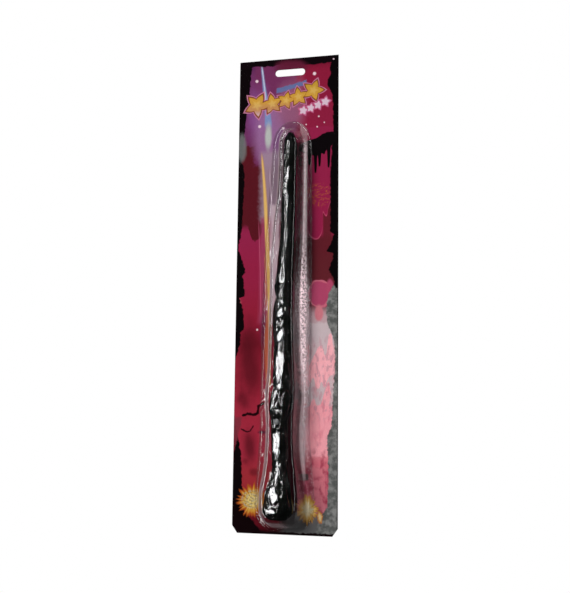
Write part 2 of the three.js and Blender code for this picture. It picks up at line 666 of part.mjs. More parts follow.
function piece(name, shape, finish) {
  const geometry = shape instanceof THREE.BufferGeometry ? weld(shape) : toGeometry(shape);
  const mesh = new THREE.Mesh(geometry, new THREE.MeshStandardMaterial(finishes[finish]));
  mesh.name = name;
  return mesh;
}

function buildWand() {
  const form = wandForm();
  const hollow = wandHollow();
  const wand = new THREE.Group();
  wand.add(
    piece('front_shell', frontShell(form, hollow), 'blackPlastic'),
    piece('rear_shell', rearShell(form, hollow), 'blackPlastic'),
    piece('battery_door', batteryDoor(form, hollow), 'blackPlastic'),
    piece('battery_door_screw', screw(DOOR.screwHeight, DOOR_SCREW), 'steel'),
    piece('push_button', pushButton(), 'button'),
    piece('switch_plunger', plunger(), 'button'),
    piece('switch_body', switchBody(), 'epoxy'),
    piece('circuit_board', circuitBoard(), 'board'),
    piece('sound_chip', soundChip(), 'epoxy'),
    piece('led_resistor', resistor(), 'resistor'),
    piece('tip_led', tipLed(), 'lens'),
    piece('led_lead_positive', ledLead(-1), 'steel'),
    piece('led_lead_negative', ledLead(1), 'steel'),
    piece('led_wire_red', ledWire(-1), 'redWire'),
    piece('led_wire_black', ledWire(1), 'blackWire'),
    piece('speaker_frame', speakerFrame(), 'steel'),
    piece('speaker_cone', speakerCone(), 'paper'),
    piece('speaker_magnet', speakerMagnet(), 'steel'),
    piece('speaker_wire_red', speakerWire(-1), 'redWire'),
    piece('speaker_wire_black', speakerWire(1), 'blackWire'),
    piece('battery_contact_positive', contactPlate(CELL.bottom - FIT - CONTACT.thickness), 'steel'),
    piece('battery_contact_negative', contactPlate(SPRING.top + FIT), 'steel'),
    piece('battery_spring', batterySpring(), 'steel'),
    piece('battery_wire_red', batteryWire(-1), 'redWire'),
    piece('battery_wire_black', batteryWire(1), 'blackWire'),
  );
  for (let i = 0; i < CELL.count; i += 1) {
    wand.add(piece(`battery_cell_${i + 1}`, cell(i), 'steel'));
  }
  SCREW_HEIGHTS.forEach((height, i) => {
    wand.add(piece(`shell_screw_${i + 1}`, screw(height, SCREW), 'steel'));
  });
  wand.position.set(WAND.footX, 0, WAND.footZ);
  const { degToRad } = THREE.MathUtils;
  wand.rotation.set(0, degToRad(WAND.leanDegrees), degToRad(WAND.rollDegrees));
  return wand;
}

const magicWandPack = new THREE.Group();
magicWandPack.add(
  piece('backing_card', backingCard(), 'card'),
  piece('blister_shell', blisterShell(), 'clearSheet'),
  buildWand(),
);

export default magicWandPack;
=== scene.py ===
"""A light-and-sound magic wand in its blister pack: surfaces, materials, light and camera.

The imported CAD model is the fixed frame. Lengths here are millimetres unless a name ends in _M.
Wand shapes are given in the wand's own frame: height runs from the pommel to the tip, the button
faces -Y and the battery door +Y. Pack shapes are given in the pack's frame, with the card's
printed face looking along -Y.
"""
import math

import bmesh
import bpy
import numpy as np
from mathutils import Matrix, Vector, noise


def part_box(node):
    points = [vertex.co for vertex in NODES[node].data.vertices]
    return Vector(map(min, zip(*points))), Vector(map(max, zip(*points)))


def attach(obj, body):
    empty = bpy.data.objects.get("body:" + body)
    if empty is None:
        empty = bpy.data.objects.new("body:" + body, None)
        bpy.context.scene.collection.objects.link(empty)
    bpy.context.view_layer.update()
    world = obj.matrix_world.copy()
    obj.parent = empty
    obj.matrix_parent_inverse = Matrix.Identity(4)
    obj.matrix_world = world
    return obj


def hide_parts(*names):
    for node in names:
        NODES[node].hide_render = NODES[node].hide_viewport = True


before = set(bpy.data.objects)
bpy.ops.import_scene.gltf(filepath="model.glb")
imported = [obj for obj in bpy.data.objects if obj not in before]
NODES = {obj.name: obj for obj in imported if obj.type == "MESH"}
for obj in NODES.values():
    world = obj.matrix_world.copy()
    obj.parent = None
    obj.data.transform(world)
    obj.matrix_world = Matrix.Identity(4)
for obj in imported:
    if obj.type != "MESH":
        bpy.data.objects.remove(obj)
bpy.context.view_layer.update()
MM = 0.001

# ---- the wand's own frame and form ------------------------------------------------------------

WAND_LENGTH = 363.0
WAND_FOOT = Vector((-2.7, 0.0, 15.4))
WAND_LEAN = math.radians(1.42)
WAND_ROLL = math.radians(-14.0)
WAND_FRAME = (
    Matrix.Translation(WAND_FOOT)
    @ Matrix.Rotation(WAND_LEAN, 4, "Y")
    @ Matrix.Rotation(WAND_ROLL, 4, "Z")
)

# Radius at heights above the foot, and the sideways wander of the centre line.
WAND_RADII = [
    (0, 8.4), (3.4, 12), (8.2, 13.4), (14.4, 12.3), (21.6, 11), (30.5, 9.3), (39.5, 7.1), (53, 7.2),
    (71, 7.4), (88, 8), (103, 10.1), (112, 9.5), (120, 8), (128, 8.4), (140, 7.8), (163, 9.1),
    (179, 9.7), (202, 7.8), (216, 8.3), (240, 8.9), (264, 7.9), (298, 7.3), (332, 6.5), (347, 6.3),
    (357, 5.3), (362, 2.8),
]
WAND_WANDER = [
    (0, 0), (30, 0.4), (53, 0.8), (88, -1.1), (112, 0.4), (140, -0.6), (163, -0.1), (202, -1.7),
    (240, 1.1), (264, 1.5), (298, 1.1), (363, 0),
]
WALL = 1.5
SEAM = 0.16
CAVITY = (2.2, 353.0)
LED_HOLE = 2.8
OUTSIDE = 16.0
BUTTON_HEIGHT = 87.7
BUTTON_HOLE = 2.7
# The ring round the button hole and the pocket for the button's flange: radii, then y places.
BUTTON_SEAT = {"ring": 4.4, "pocket": 3.7, "ring_front": -7.4, "pocket_front": -6.2, "pocket_back": -4.0}
DOOR = {"bottom": 97.0, "top": 126.5, "half_width": 5.9, "inside": 1.5, "screw": 123.2, "gap": 0.25}
DOOR_BOSS = {"front_end": 3.4, "start": 3.8, "shoulder": 5.2}
SCREW_HEIGHTS = (27.0, 135.0, 228.0, 322.0)
BOSS = {"radius": 2.6, "bore": 1.15, "bore_end": -4.4, "counterbore": 2.0, "shoulder": 2.0}
GRILLE = {"hole": 0.9, "ring": 4.6, "count": 6}


def curve_through(table):
    """A smooth function of height through (height, value) pairs, for numbers or arrays."""
    x, y = (np.array(column, float) for column in zip(*table))
    slope = np.empty_like(y)
    slope[1:-1] = (y[2:] - y[:-2]) / (x[2:] - x[:-2])
    slope[0] = (y[1] - y[0]) / (x[1] - x[0])
    slope[-1] = (y[-1] - y[-2]) / (x[-1] - x[-2])

    def read(height):
        h = np.clip(height, x[0], x[-1])
        i = np.clip(np.searchsorted(x, h, side="right") - 1, 0, len(x) - 2)
        span = x[i + 1] - x[i]
        t = (h - x[i]) / span
        rise = y[i + 1] - y[i]
        m0, m1 = slope[i] * span, slope[i + 1] * span
        return y[i] + t * m0 + t * t * (3 * rise - 2 * m0 - m1) + t**3 * (m0 + m1 - 2 * rise)

    return read


wand_radius = curve_through(WAND_RADII)
wand_centre = curve_through(WAND_WANDER)


# ---- mesh helpers -----------------------------------------------------------------------------


def add_object(name, mesh):
    piece = bpy.data.objects.new(name, mesh)
    bpy.context.scene.collection.objects.link(piece)
    return piece


def mesh_object(name, points, faces, matrix=Matrix.Identity(4)):
    """A mesh from millimetre points, turned by matrix, in the pack's frame in metres."""
    mesh = bpy.data.meshes.new(name)
    mesh.from_pydata([tuple(matrix @ Vector(point) * MM) for point in points], [], faces)
    mesh.validate()
    return add_object(name, mesh)


def grid_faces(rows, columns, closed=True):
    """Quads between rows of points; closed joins each row's last column to its first."""
    faces = []
    for row in range(rows - 1):
        for column in range(columns if closed else columns - 1):
            right = (column + 1) % columns
            faces.append((
                row * columns + column, row * columns + right,
                (row + 1) * columns + right, (row + 1) * columns + column,
            ))
    return faces


def capped_tube(rings):
    """Points and faces of a closed body through rings of equal length, bottom ring first."""
    rows, columns = len(rings), len(rings[0])
    points = [tuple(point) for ring in rings for point in ring]
    faces = grid_faces(rows, columns)
    for ring, flip in ((0, True), (rows - 1, False)):
        centre = len(points)
        points.append(tuple(np.mean(rings[ring], axis=0)))
        for column in range(columns):
            a, b = ring * columns + column, ring * columns + (column + 1) % columns
            faces.append((b, a, centre) if flip else (a, b, centre))
    return points, faces


def turned(name, profile, columns=48, offset=(0.0, 0.0), matrix=WAND_FRAME):
    """A closed body from (radius, height) pairs about the height axis, bottom to top."""
    angles = np.arange(columns) * 2 * math.pi / columns
    rings = [
        [(offset[0] + radius * math.cos(a), offset[1] + radius * math.sin(a), height) for a in angles]
        for radius, height in profile
    ]
    return mesh_object(name, *capped_tube(rings), matrix)


def rod(name, radius, start, end, columns=32, matrix=WAND_FRAME):
    """A cylinder between two points of the wand's frame."""
    start, end = Vector(start), Vector(end)
    turn = (end - start).to_track_quat("Z", "Y").to_matrix().to_4x4()
    length = (end - start).length
    place = matrix @ Matrix.Translation(start) @ turn
    return turned(name, [(radius, 0), (radius, length)], columns, matrix=place)


def block(name, low, high, matrix=WAND_FRAME):
    corners = [(x, y, z) for x in (low[0], high[0]) for y in (low[1], high[1]) for z in (low[2], high[2])]
    faces = [(0, 1, 3, 2), (4, 6, 7, 5), (0, 4, 5, 1), (2, 3, 7, 6), (0, 2, 6, 4), (1, 5, 7, 3)]
    return mesh_object(name, corners, faces, matrix)


def combine(target, operation, tools):
    """Join, cut or intersect target with each tool in turn, and delete the tools."""
    for tool in tools:
        modifier = target.modifiers.new("combine", "BOOLEAN")
        modifier.operation = operation
        modifier.object = tool
        modifier.solver = "MANIFOLD"
        graph = bpy.context.evaluated_depsgraph_get()
        mesh = bpy.data.meshes.new_from_object(target.evaluated_get(graph))
        target.modifiers.clear()
        old = target.data
        target.data = mesh
        bpy.data.meshes.remove(old)
        bpy.data.objects.remove(tool)
    return target


def copy_of(piece, name):
    return add_object(name, piece.data.copy())


def smooth(piece, angle=35.0):
    """Smooth shading that keeps edges sharper than angle degrees."""
    piece.data.shade_smooth()
    piece.data.set_sharp_from_angle(angle=math.radians(angle))
    return piece


# ---- wand surface -----------------------------------------------------------------------------

# Dents and knots in the moulding: height, angle round from the button in degrees (positive to
# the right), half height, half width round the wand, and how far it rises (negative: sinks).
KNOTS = [
    (216, -38, 7, 4.5, 1.1), (219, -14, 3, 7, -0.8), (203, -44, 5, 3.2, -1.1), (192, -16, 5, 3, 0.8),
    (184, -42, 6, 3.6, -1.2), (172, -14, 6, 3.4, 0.9), (161, -42, 5.5, 3.8, -1.0), (150, -12, 8, 3.6, 0.7),
    (206, 32, 9, 5, 0.8), (187, 44, 8, 4, -0.9), (168, 38, 8, 5, 0.7), (238, 60, 12, 4, 0.6),
    (262, 24, 14, 3.4, -0.6), (292, -30, 16, 3, 0.5), (310, 14, 10, 2.6, -0.5), (330, -22, 9, 3.2, 0.5),
    (24, -48, 5.5, 5, 1.2), (17, 8, 5, 4.6, 1.1), (27, 16, 5, 5, -0.9), (9, -34, 4, 6, 0.9),
    (7, 30, 4, 5, 0.8), (34, -16, 5, 4, 0.9), (13, -86, 5, 6, 0.9), (19, 62, 6, 5, 0.9),
    (30, 92, 6, 5, 0.7), (14, 120, 6, 6, 0.9), (24, 165, 6, 6, 0.9), (11, -130, 5, 7, 0.9),
    (33, -135, 5, 5, 0.7), (198, 120, 9, 5, 1.0), (180, 165, 8, 5, -0.9), (212, -120, 8, 5, 0.9),
    (170, -110, 9, 5, 0.8), (156, 130, 8, 5, -0.8), (245, 150, 12, 4, 0.6), (270, -140, 14, 4, 0.6),
]
# Flats that all face the same way: height and angle round from the button of the middle, half
# height, half width, share, and how far they slant sideways for each millimetre up.
FLATS_FACE = 7.0
FLATS = [
    (341, 4, 12, 0.6, 0.95, 0.0), (321, 5, 8, 1.5, 0.98, 0.05), (296, 2, 6, 1.3, 0.98, -0.1),
    (276, 3, 13, 0.6, 0.95, -0.12), (244, 2, 20, 0.8, 0.97, 0.12), (226, 2, 7, 0.9, 0.95, -0.2),
    (208, 6, 4, 1.3, 0.95, 0.3), (198, 16, 4.5, 1.1, 0.95, -0.4), (188, 9, 4.2, 2.7, 0.98, 0.1),
    (177, 16, 5, 0.9, 0.95, 0.3), (167, 9, 5.2, 3.2, 0.98, 0.3), (140, 8, 13.5, 3.8, 0.98, 0.06),
    (120, 8, 3, 2.3, 0.97, 0.0), (113, -13, 5, 1.2, 0.97, 0.2), (112, 30, 4.2, 1.0, 0.97, 0.5),
    (109, 8, 4.6, 1.2, 0.97, -0.25), (102.5, -24, 5, 1.3, 0.97, 0.45), (103.5, -2, 4, 1.2, 0.97, 0.35),
    (105, 20, 4, 0.9, 0.95, -0.4), (96, -3, 3.4, 3.8, 0.98, 0.0), (69, -1, 13, 3.3, 0.98, 0.04),
    (50, 4, 2, 1.4, 0.97, 0.0), (39, 6, 8, 1.3, 0.97, 0.05), (22, 1, 7, 3.8, 0.98, -0.15),
    (14, 22, 3, 1.3, 0.95, 0.4), (7, -3, 3.2, 4.4, 0.98, 0.0),
]
# Grooves that run round the wand: height, half height and depth.
COLLARS = [(117.5, 1.3, 0.9), (125.5, 1.0, 0.7), (52.0, 1.1, 0.7), (46.5, 1.0, 0.5), (216.0, 1.2, 0.8)]
HANDLE = {"height": 105.0, "half": 13.0, "claws": 9, "depth": 0.95}
FLARE = {"height": 30.0, "half": 16.0, "claws": 7, "depth": 0.8}
DISH = {"half_width": 4.1, "half_height": 6.6, "depth": 1.2, "rim": 0.7}


def bell(x):
    """1 at 0, falling smoothly to nothing on both sides."""
    return math.exp(-x * x)


def flow(angle, height, around, along, seed):
    """Noise on the wand, around times as fine round it as along a length of along."""
    return noise.noise(Vector((around * math.cos(angle) + seed, around * math.sin(angle), height / along)))


def turn_from(angle, degrees):
    """How far round an angle is, in radians, from a direction in degrees from the button."""
    return (angle - math.radians(degrees - 90) + math.pi) % (2 * math.pi) - math.pi


def relief(angle, height, radius):
    """How far the moulding stands out of (or sinks into) the plain form."""
    lumpy = bell((height - 186) / 42)
    twist = angle + 0.011 * height + 0.5 * flow(angle, height, 0.8, 46, 3.1)
    ridges = 1 - 2.4 * abs(flow(twist, height, 2.1, 58, 11.7))
    veins = 1 - 2.6 * abs(flow(twist, height, 4.2, 34, 27.3))
    lumps = flow(twist, height, 1.9, 15, 41.9)
    tear = flow(angle, height, 3.4, 4.5, 63.7)
    slim = 1 - 0.7 * min(1.0, max(0.0, (height - 214) / 16))
    rise = slim * (0.42 * ridges + 0.2 * veins) + (0.35 * slim + 0.9 * lumpy) * lumps
    for middle, half, depth in COLLARS:
        wobble = 1.2 * flow(angle, middle, 1.1, 10, 5.5)
        rise -= depth * bell((height - middle - wobble) / half)
    for zone in (HANDLE, FLARE):
        share = bell(((height - zone["height"]) / zone["half"]) ** 2)
        claw = abs(math.sin(zone["claws"] / 2 * (twist + 0.35 * lumps)))
        rise += share * zone["depth"] * (2 * math.sqrt(claw) - 1.3)
    for middle, degrees, half_height, half_width, out in KNOTS:
        up = (height - middle) / half_height
        if abs(up) > 2.4:
            continue
        rise += out * bell(math.hypot(up, turn_from(angle, degrees) * radius / half_width))
    facing = turn_from(angle, FLATS_FACE)
    for middle, degrees, half_height, half_width, share, slant in FLATS:
        across = turn_from(angle, degrees) * radius - slant * (height - middle)
        far = math.hypot((height - middle) / half_height, across / half_width) + 0.45 * tear
        if far < 1.2:
            level = radius * (0.97 * math.cos(math.radians(degrees - FLATS_FACE)) / math.cos(facing) - 1)
            rise += (level - rise) * share * min(1.0, (1.2 - far) / 0.2)
            crease = bell(flow(angle, height, 2.6, 8, 77.1) / 0.045)
            rise -= 0.12 * crease * min(1.0, 1.2 - far)
    return rise


def around_button(angle, height, radius, rise):
    """Blend the relief into the smooth dish and its rim round the button."""
    turn = turn_from(angle, 0)
    reach = math.hypot(turn * radius / DISH["half_width"], (height - BUTTON_HEIGHT) / DISH["half_height"])
    if reach > 2.2:
        return rise
    calm = min(1.0, max(0.0, (reach - 0.95) / 0.9))
    dish = -DISH["depth"] * max(0.0, 1 - reach**3)
    rim = DISH["rim"] * bell((reach - 1.12) / 0.2)
    return rise * calm + dish + rim


def wand_body():
    """The whole wand as one dense closed body, before it is split and hollowed."""
    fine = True
    columns = 108 if fine else 72
    step = 0.5 if fine else 0.9
    end = WAND_LENGTH - 0.6
    heights = np.concatenate([
        np.linspace(0, 6, 16), np.arange(6 + step, end - 4, step), np.linspace(end - 4, end, 10),
    ])
    floor = [(radius, 0.0) for radius in np.linspace(1.2, 7.6, 8)]
    profile = floor + [(float(wand_radius(height)), float(height)) for height in heights]
    rings = []
    for radius, height in profile:
        centre = float(wand_centre(height))
        fade = min(1.0, height / 5.0, (WAND_LENGTH - height) / 9.0)
        ring = []
        for column in range(columns):
            angle = 2 * math.pi * column / columns
            rise = 0.0
            if fade > 0:
                rise = around_button(angle, height, radius, relief(angle, height, radius) * fade)
            reach = radius + rise
            ring.append((centre + reach * math.cos(angle), reach * math.sin(angle), height))
        rings.append(ring)
    return mesh_object("wand_body", *capped_tube(rings), WAND_FRAME)


def wand_hollow():
    """What is taken out of the body to leave a wall of even thickness."""
    heights = np.linspace(*CAVITY, 90)
    rings = []
    for height in heights:
        radius = float(wand_radius(height)) - WALL
        centre = float(wand_centre(height))
        ring = [
            (centre + radius * math.cos(a), radius * math.sin(a), height)
            for a in np.arange(40) * 2 * math.pi / 40
        ]
        rings.append(ring)
    return mesh_object("wand_hollow", *capped_tube(rings), WAND_FRAME)


def half_space(side):
    """A block that holds the half of the wand on one side of the seam."""
    low, high = (-40, -SEAM / 2) if side < 0 else (SEAM / 2, 40)
    return block("half", (-40, low, -5), (40, high, WAND_LENGTH + 5))


def end_holes():
    """The speaker grille in the pommel and the light's hole in the tip."""
    spots = [(0.0, 0.0)]
    for i in range(GRILLE["count"]):
        angle = 2 * math.pi * (i + 0.5) / GRILLE["count"]
        spots.append((GRILLE["ring"] * math.cos(angle), GRILLE["ring"] * math.sin(angle)))
    holes = [rod("hole", GRILLE["hole"], (x, y, -2), (x, y, CAVITY[0] + 1), 24) for x, y in spots]
    return [*holes, rod("hole", LED_HOLE, (0, 0, CAVITY[1] - 1), (0, 0, WAND_LENGTH + 2), 40)]


def post(radius, low, high, height, columns=28):
    """A cylinder across the wand, along Y, at one height."""
    x = float(wand_centre(height))
    return rod("post", radius, (x, low, height), (x, high, height), columns)


def door_block(clearance):
    """The battery door's outline as a block, grown by clearance on its four sides."""
    middle = float(wand_centre((DOOR["bottom"] + DOOR["top"]) / 2))
    half = DOOR["half_width"] + clearance
    return block(
        "door_block",
        (middle - half, DOOR["inside"], DOOR["bottom"] - clearance),
        (middle + half, 20, DOOR["top"] + clearance),
    )


def inside_of(body, bosses):
    """The bosses, trimmed to the wand's outside."""
    return [combine(boss, "INTERSECT", [copy_of(body, "body_copy")]) for boss in bosses]


def build_wand_shells():
    """The front shell, the rear shell and the battery door, all cut from one body."""
    body = wand_body()
    shell = combine(copy_of(body, "wand_shell"), "DIFFERENCE", [wand_hollow()])

    front = combine(copy_of(shell, "wand_front_moulding"), "INTERSECT", [half_space(-1)])
    bosses = [post(BOSS["radius"], -OUTSIDE, -SEAM / 2, height) for height in SCREW_HEIGHTS]
    bosses.append(post(BOSS["radius"] - 0.4, -OUTSIDE, DOOR_BOSS["front_end"], DOOR["screw"]))
    seat = BUTTON_SEAT
    bosses.append(post(seat["ring"], seat["ring_front"], seat["pocket_front"], BUTTON_HEIGHT))
    combine(front, "UNION", inside_of(body, bosses))
    bores = [post(BOSS["bore"], BOSS["bore_end"], 5, height) for height in (*SCREW_HEIGHTS, DOOR["screw"])]
    button_hole = post(BUTTON_HOLE, -OUTSIDE + 2, seat["pocket_back"], BUTTON_HEIGHT, 48)
    pocket = post(seat["pocket"], seat["pocket_front"], seat["pocket_back"], BUTTON_HEIGHT, 48)
    combine(front, "DIFFERENCE", [*bores, button_hole, pocket, *end_holes()])

    rear = combine(copy_of(shell, "wand_rear_moulding"), "INTERSECT", [half_space(1)])
    bosses = [post(BOSS["radius"], SEAM / 2, OUTSIDE, height) for height in SCREW_HEIGHTS]
    combine(rear, "UNION", inside_of(body, bosses))
    bores = [post(BOSS["bore"], -1, OUTSIDE, height) for height in SCREW_HEIGHTS]
    sinks = [post(BOSS["counterbore"], BOSS["shoulder"], OUTSIDE, height) for height in SCREW_HEIGHTS]
    combine(rear, "DIFFERENCE", [*bores, *sinks, door_block(DOOR["gap"]), *end_holes()])

    door = combine(shell, "UNION", inside_of(body, [
        post(BOSS["radius"], DOOR_BOSS["start"], OUTSIDE, DOOR["screw"]),
    ]))
    door.name = "battery_door_moulding"
    combine(door, "INTERSECT", [door_block(0)])
    combine(door, "DIFFERENCE", [
        post(BOSS["bore"], 2, OUTSIDE, DOOR["screw"]),
        post(BOSS["counterbore"], DOOR_BOSS["shoulder"], OUTSIDE, DOOR["screw"]),
    ])
    bpy.data.objects.remove(body)
    return front, rear, door


# ---- clear blister ----------------------------------------------------------------------------

CARD_FACE = 16.5
# Places of the dome's front and the flange along Y, then lengths. RIDGE_ENDS is how far the front's
# middle line stays from the dome's two ends, and TAPER how far the dome narrows towards its front.
BLISTER = {"front": -17.0, "flange": 15.95, "sheet": 0.4, "fillet": 1.6, "edge": 4.5, "crown": 0.1}
RIDGE_ENDS = (9, 8)
TAPER = {"x": 0.22, "z": 0.042, "middle": (1.0, 197.0)}
# Outlines of the dome's foot and of the flange: round ends as centre and radii, sides as points.
DOME_TOP = {"centre": (6.0, 370.0), "radii": (11.0, 17.5)}
DOME_BOTTOM = {"right": ((8, 21), (14.4, 15)), "left": ((-8, 21), (13.6, 15))}
DOME_RIGHT = [
    (22.6, 34), (20.2, 50), (17.2, 70), (16.4, 97), (18.3, 125), (17.2, 146), (15.6, 186),
    (14.8, 218), (15.3, 250), (16.2, 282), (16.9, 322), (17, 350),
]
DOME_LEFT = [
    (-21.3, 34), (-18.6, 50), (-16.6, 70), (-15.5, 97), (-16.8, 125), (-14.8, 150), (-13.6, 200),
    (-13, 255), (-10.2, 292), (-6.4, 322), (-5, 350),
]
# How far forward the dome's front stands, at heights up the card.
DOME_FRONT = [
    (0, -16.6), (45, -16.2), (62, -12.4), (95, -12), (104, -12.5), (118, -13), (128, -12.6),
    (146, -11.3), (178, -12.4), (196, -12.4), (217, -11.2), (232, -11.4), (255, -11.9), (280, -10.9),
    (320, -10.1), (350, -9.7), (375, -9.3), (400, -9),
]
FLANGE_TOP = {"centre": (4.1, 371.0), "radii": (19.5, 24.0)}
FLANGE_BOTTOM = {"right": ((8, 22), (19.6, 19.6)), "left": ((-8, 22), (19.6, 19.6))}
FLANGE_RIGHT = [(28, 36), (26, 60), (23.6, 95), (24.4, 140), (24.6, 215), (24.4, 290), (24, 355)]
FLANGE_LEFT = [(-28, 36), (-26.4, 60), (-24.6, 95), (-24.2, 140), (-23.4, 215), (-20.4, 290), (-16, 355)]


dome_front = curve_through(DOME_FRONT)


def arc(centre, radii, start, end, count):
    """Points on a stretch of an ellipse, its two angles in degrees."""
    angles = np.radians(np.linspace(start, end, count))
    return [(centre[0] + radii[0] * math.cos(a), centre[1] + radii[1] * math.sin(a)) for a in angles]


def side_of(points, count):
    """Evenly spaced points on a smooth curve through points, from the bottom to the top."""
    points = np.array(points, float)
    length = np.concatenate([[0], np.cumsum(np.linalg.norm(np.diff(points, axis=0), axis=1))])
    marks = np.linspace(0, length[-1], count)
    columns = [curve_through(list(zip(length, points[:, axis])))(marks) for axis in (0, 1)]
    return np.stack(columns, axis=1)


def loop_of(bottom, right, top, left, count):
    """A closed outline whose right and left halves have the same number of points."""
    bottom_right = arc(*bottom["right"], -90, 0, 6)
    bottom_left = arc(*bottom["left"], -90, -180, 6)
    start = ((bottom_right[0][0] + bottom_left[0][0]) / 2, bottom_right[0][1])
    centre, radii = top["centre"], top["radii"]
    up_right = side_of([start, *bottom_right, *right, *arc(centre, radii, 0, 90, 7)], count)
    up_left = side_of([start, *bottom_left, *left, *arc(centre, radii, 180, 90, 7)], count)
    return np.concatenate([up_right, up_left[-2:0:-1]])


def outward(loop):
    """Unit normals of a closed outline, to its outside."""
    along = np.roll(loop, -1, axis=0) - np.roll(loop, 1, axis=0)
    normal = np.stack([along[:, 1], -along[:, 0]], axis=1)
    return normal / np.linalg.norm(normal, axis=1, keepdims=True)


def tapered(loop, y):
    """An outline drawn in towards the dome's middle, the more the further forward it stands."""
    rise = min(1.0, max(0.0, (CARD_FACE - y) / (CARD_FACE - BLISTER["front"])))
    middle = np.array(TAPER["middle"])
    return middle + (loop - middle) * (1 - np.array([TAPER["x"], TAPER["z"]]) * rise)


def blister_rings(count):
    """Rings of (x, y, z) from the flange's edge, up the wall and over the front to its middle."""
    dome = loop_of(DOME_BOTTOM, DOME_RIGHT, DOME_TOP, DOME_LEFT, count)
    flange = loop_of(FLANGE_BOTTOM, FLANGE_RIGHT, FLANGE_TOP, FLANGE_LEFT, count)
    normal = outward(dome)
    base, fillet, edge, front = (BLISTER[key] for key in ("flange", "fillet", "edge", "front"))
    foot = dome + normal * fillet
    flat = [(flange, base), ((flange * 2 + foot) / 3, base), ((flange + foot * 2) / 3, base)]
    for turn in np.radians(np.linspace(0, 80, 7)):
        flat.append((dome + normal * fillet * (1 - math.sin(turn)), base - fillet * (1 - math.cos(turn))))
    for y in np.linspace(base - fillet * 1.5, front + edge, 12):
        flat.append((tapered(dome, y), y))
    for turn in np.radians(np.linspace(10, 82, 9)):
        y = front + edge * (1 - math.sin(turn))
        flat.append((tapered(dome - normal * edge * (1 - math.cos(turn)), y), y))
    shoulder = flat[-1][0]
    mirror = np.roll(shoulder[::-1], 1, axis=0)
    middle = (shoulder + mirror) / 2
    low, high = shoulder[:, 1].min() + RIDGE_ENDS[0], shoulder[:, 1].max() - RIDGE_ENDS[1]
    middle[:, 1] = np.clip(middle[:, 1], low, high)
    for share in (0.08, 0.2, 0.34, 0.5, 0.66, 0.82, 0.94, 1.0):
        y = front + BLISTER["crown"] * (1 - share) ** 2
        flat.append((shoulder + (middle - shoulder) * share, y))
    rings = []
    for ring, y in flat:
        reach = (CARD_FACE - dome_front(ring[:, 1])) / (CARD_FACE - front)
        rings.append(np.stack([ring[:, 0], CARD_FACE - (CARD_FACE - y) * reach, ring[:, 1]], axis=1))
    return rings


def build_blister():
    """The formed sheet, faintly rippled over the dome, with its thickness as a modifier."""
    rings = blister_rings(230)
    points = [tuple(point) for ring in rings for point in ring]
    piece = mesh_object("clear_blister", points, grid_faces(len(rings), len(rings[0])))
    mesh = bmesh.new()
    mesh.from_mesh(piece.data)
    bmesh.ops.remove_doubles(mesh, verts=mesh.verts, dist=1e-6)
    bmesh.ops.recalc_face_normals(mesh, faces=mesh.faces)
    lowest = min(mesh.faces, key=lambda face: face.calc_center_median().y)
    if lowest.normal.y > 0:
        bmesh.ops.reverse_faces(mesh, faces=mesh.faces)
    for vertex in mesh.verts:
        place = vertex.co / MM
        lift = min(1.0, max(0.0, (14.0 - place.y) / 8))
        wave = noise.noise(place / 21) * 0.12 + noise.noise(place / 6 + Vector((9, 4, 2))) * 0.02
        vertex.co += vertex.normal * wave * lift * MM
    mesh.to_mesh(piece.data)
    mesh.free()
    thick = piece.modifiers.new("sheet", "SOLIDIFY")
    thick.thickness = BLISTER["sheet"] * MM
    thick.offset = -1.0
    return smooth(piece, 60)


# ---- node materials ---------------------------------------------------------------------------


def ink(red, green, blue):
    """A display colour, 0 to 255, as linear light."""
    return tuple(c / 12.92 if c <= 0.04045 else ((c + 0.055) / 1.055) ** 2.4
                 for c in (red / 255, green / 255, blue / 255))


def plug(socket, value):
    """Link a Field to a socket, or set the socket's own value."""
    if isinstance(value, Field):
        value.tree.links.new(value.socket, socket)
    elif isinstance(value, tuple) and len(value) == 3 and socket.type == "RGBA":
        socket.default_value = (*value, 1)
    else:
        socket.default_value = value


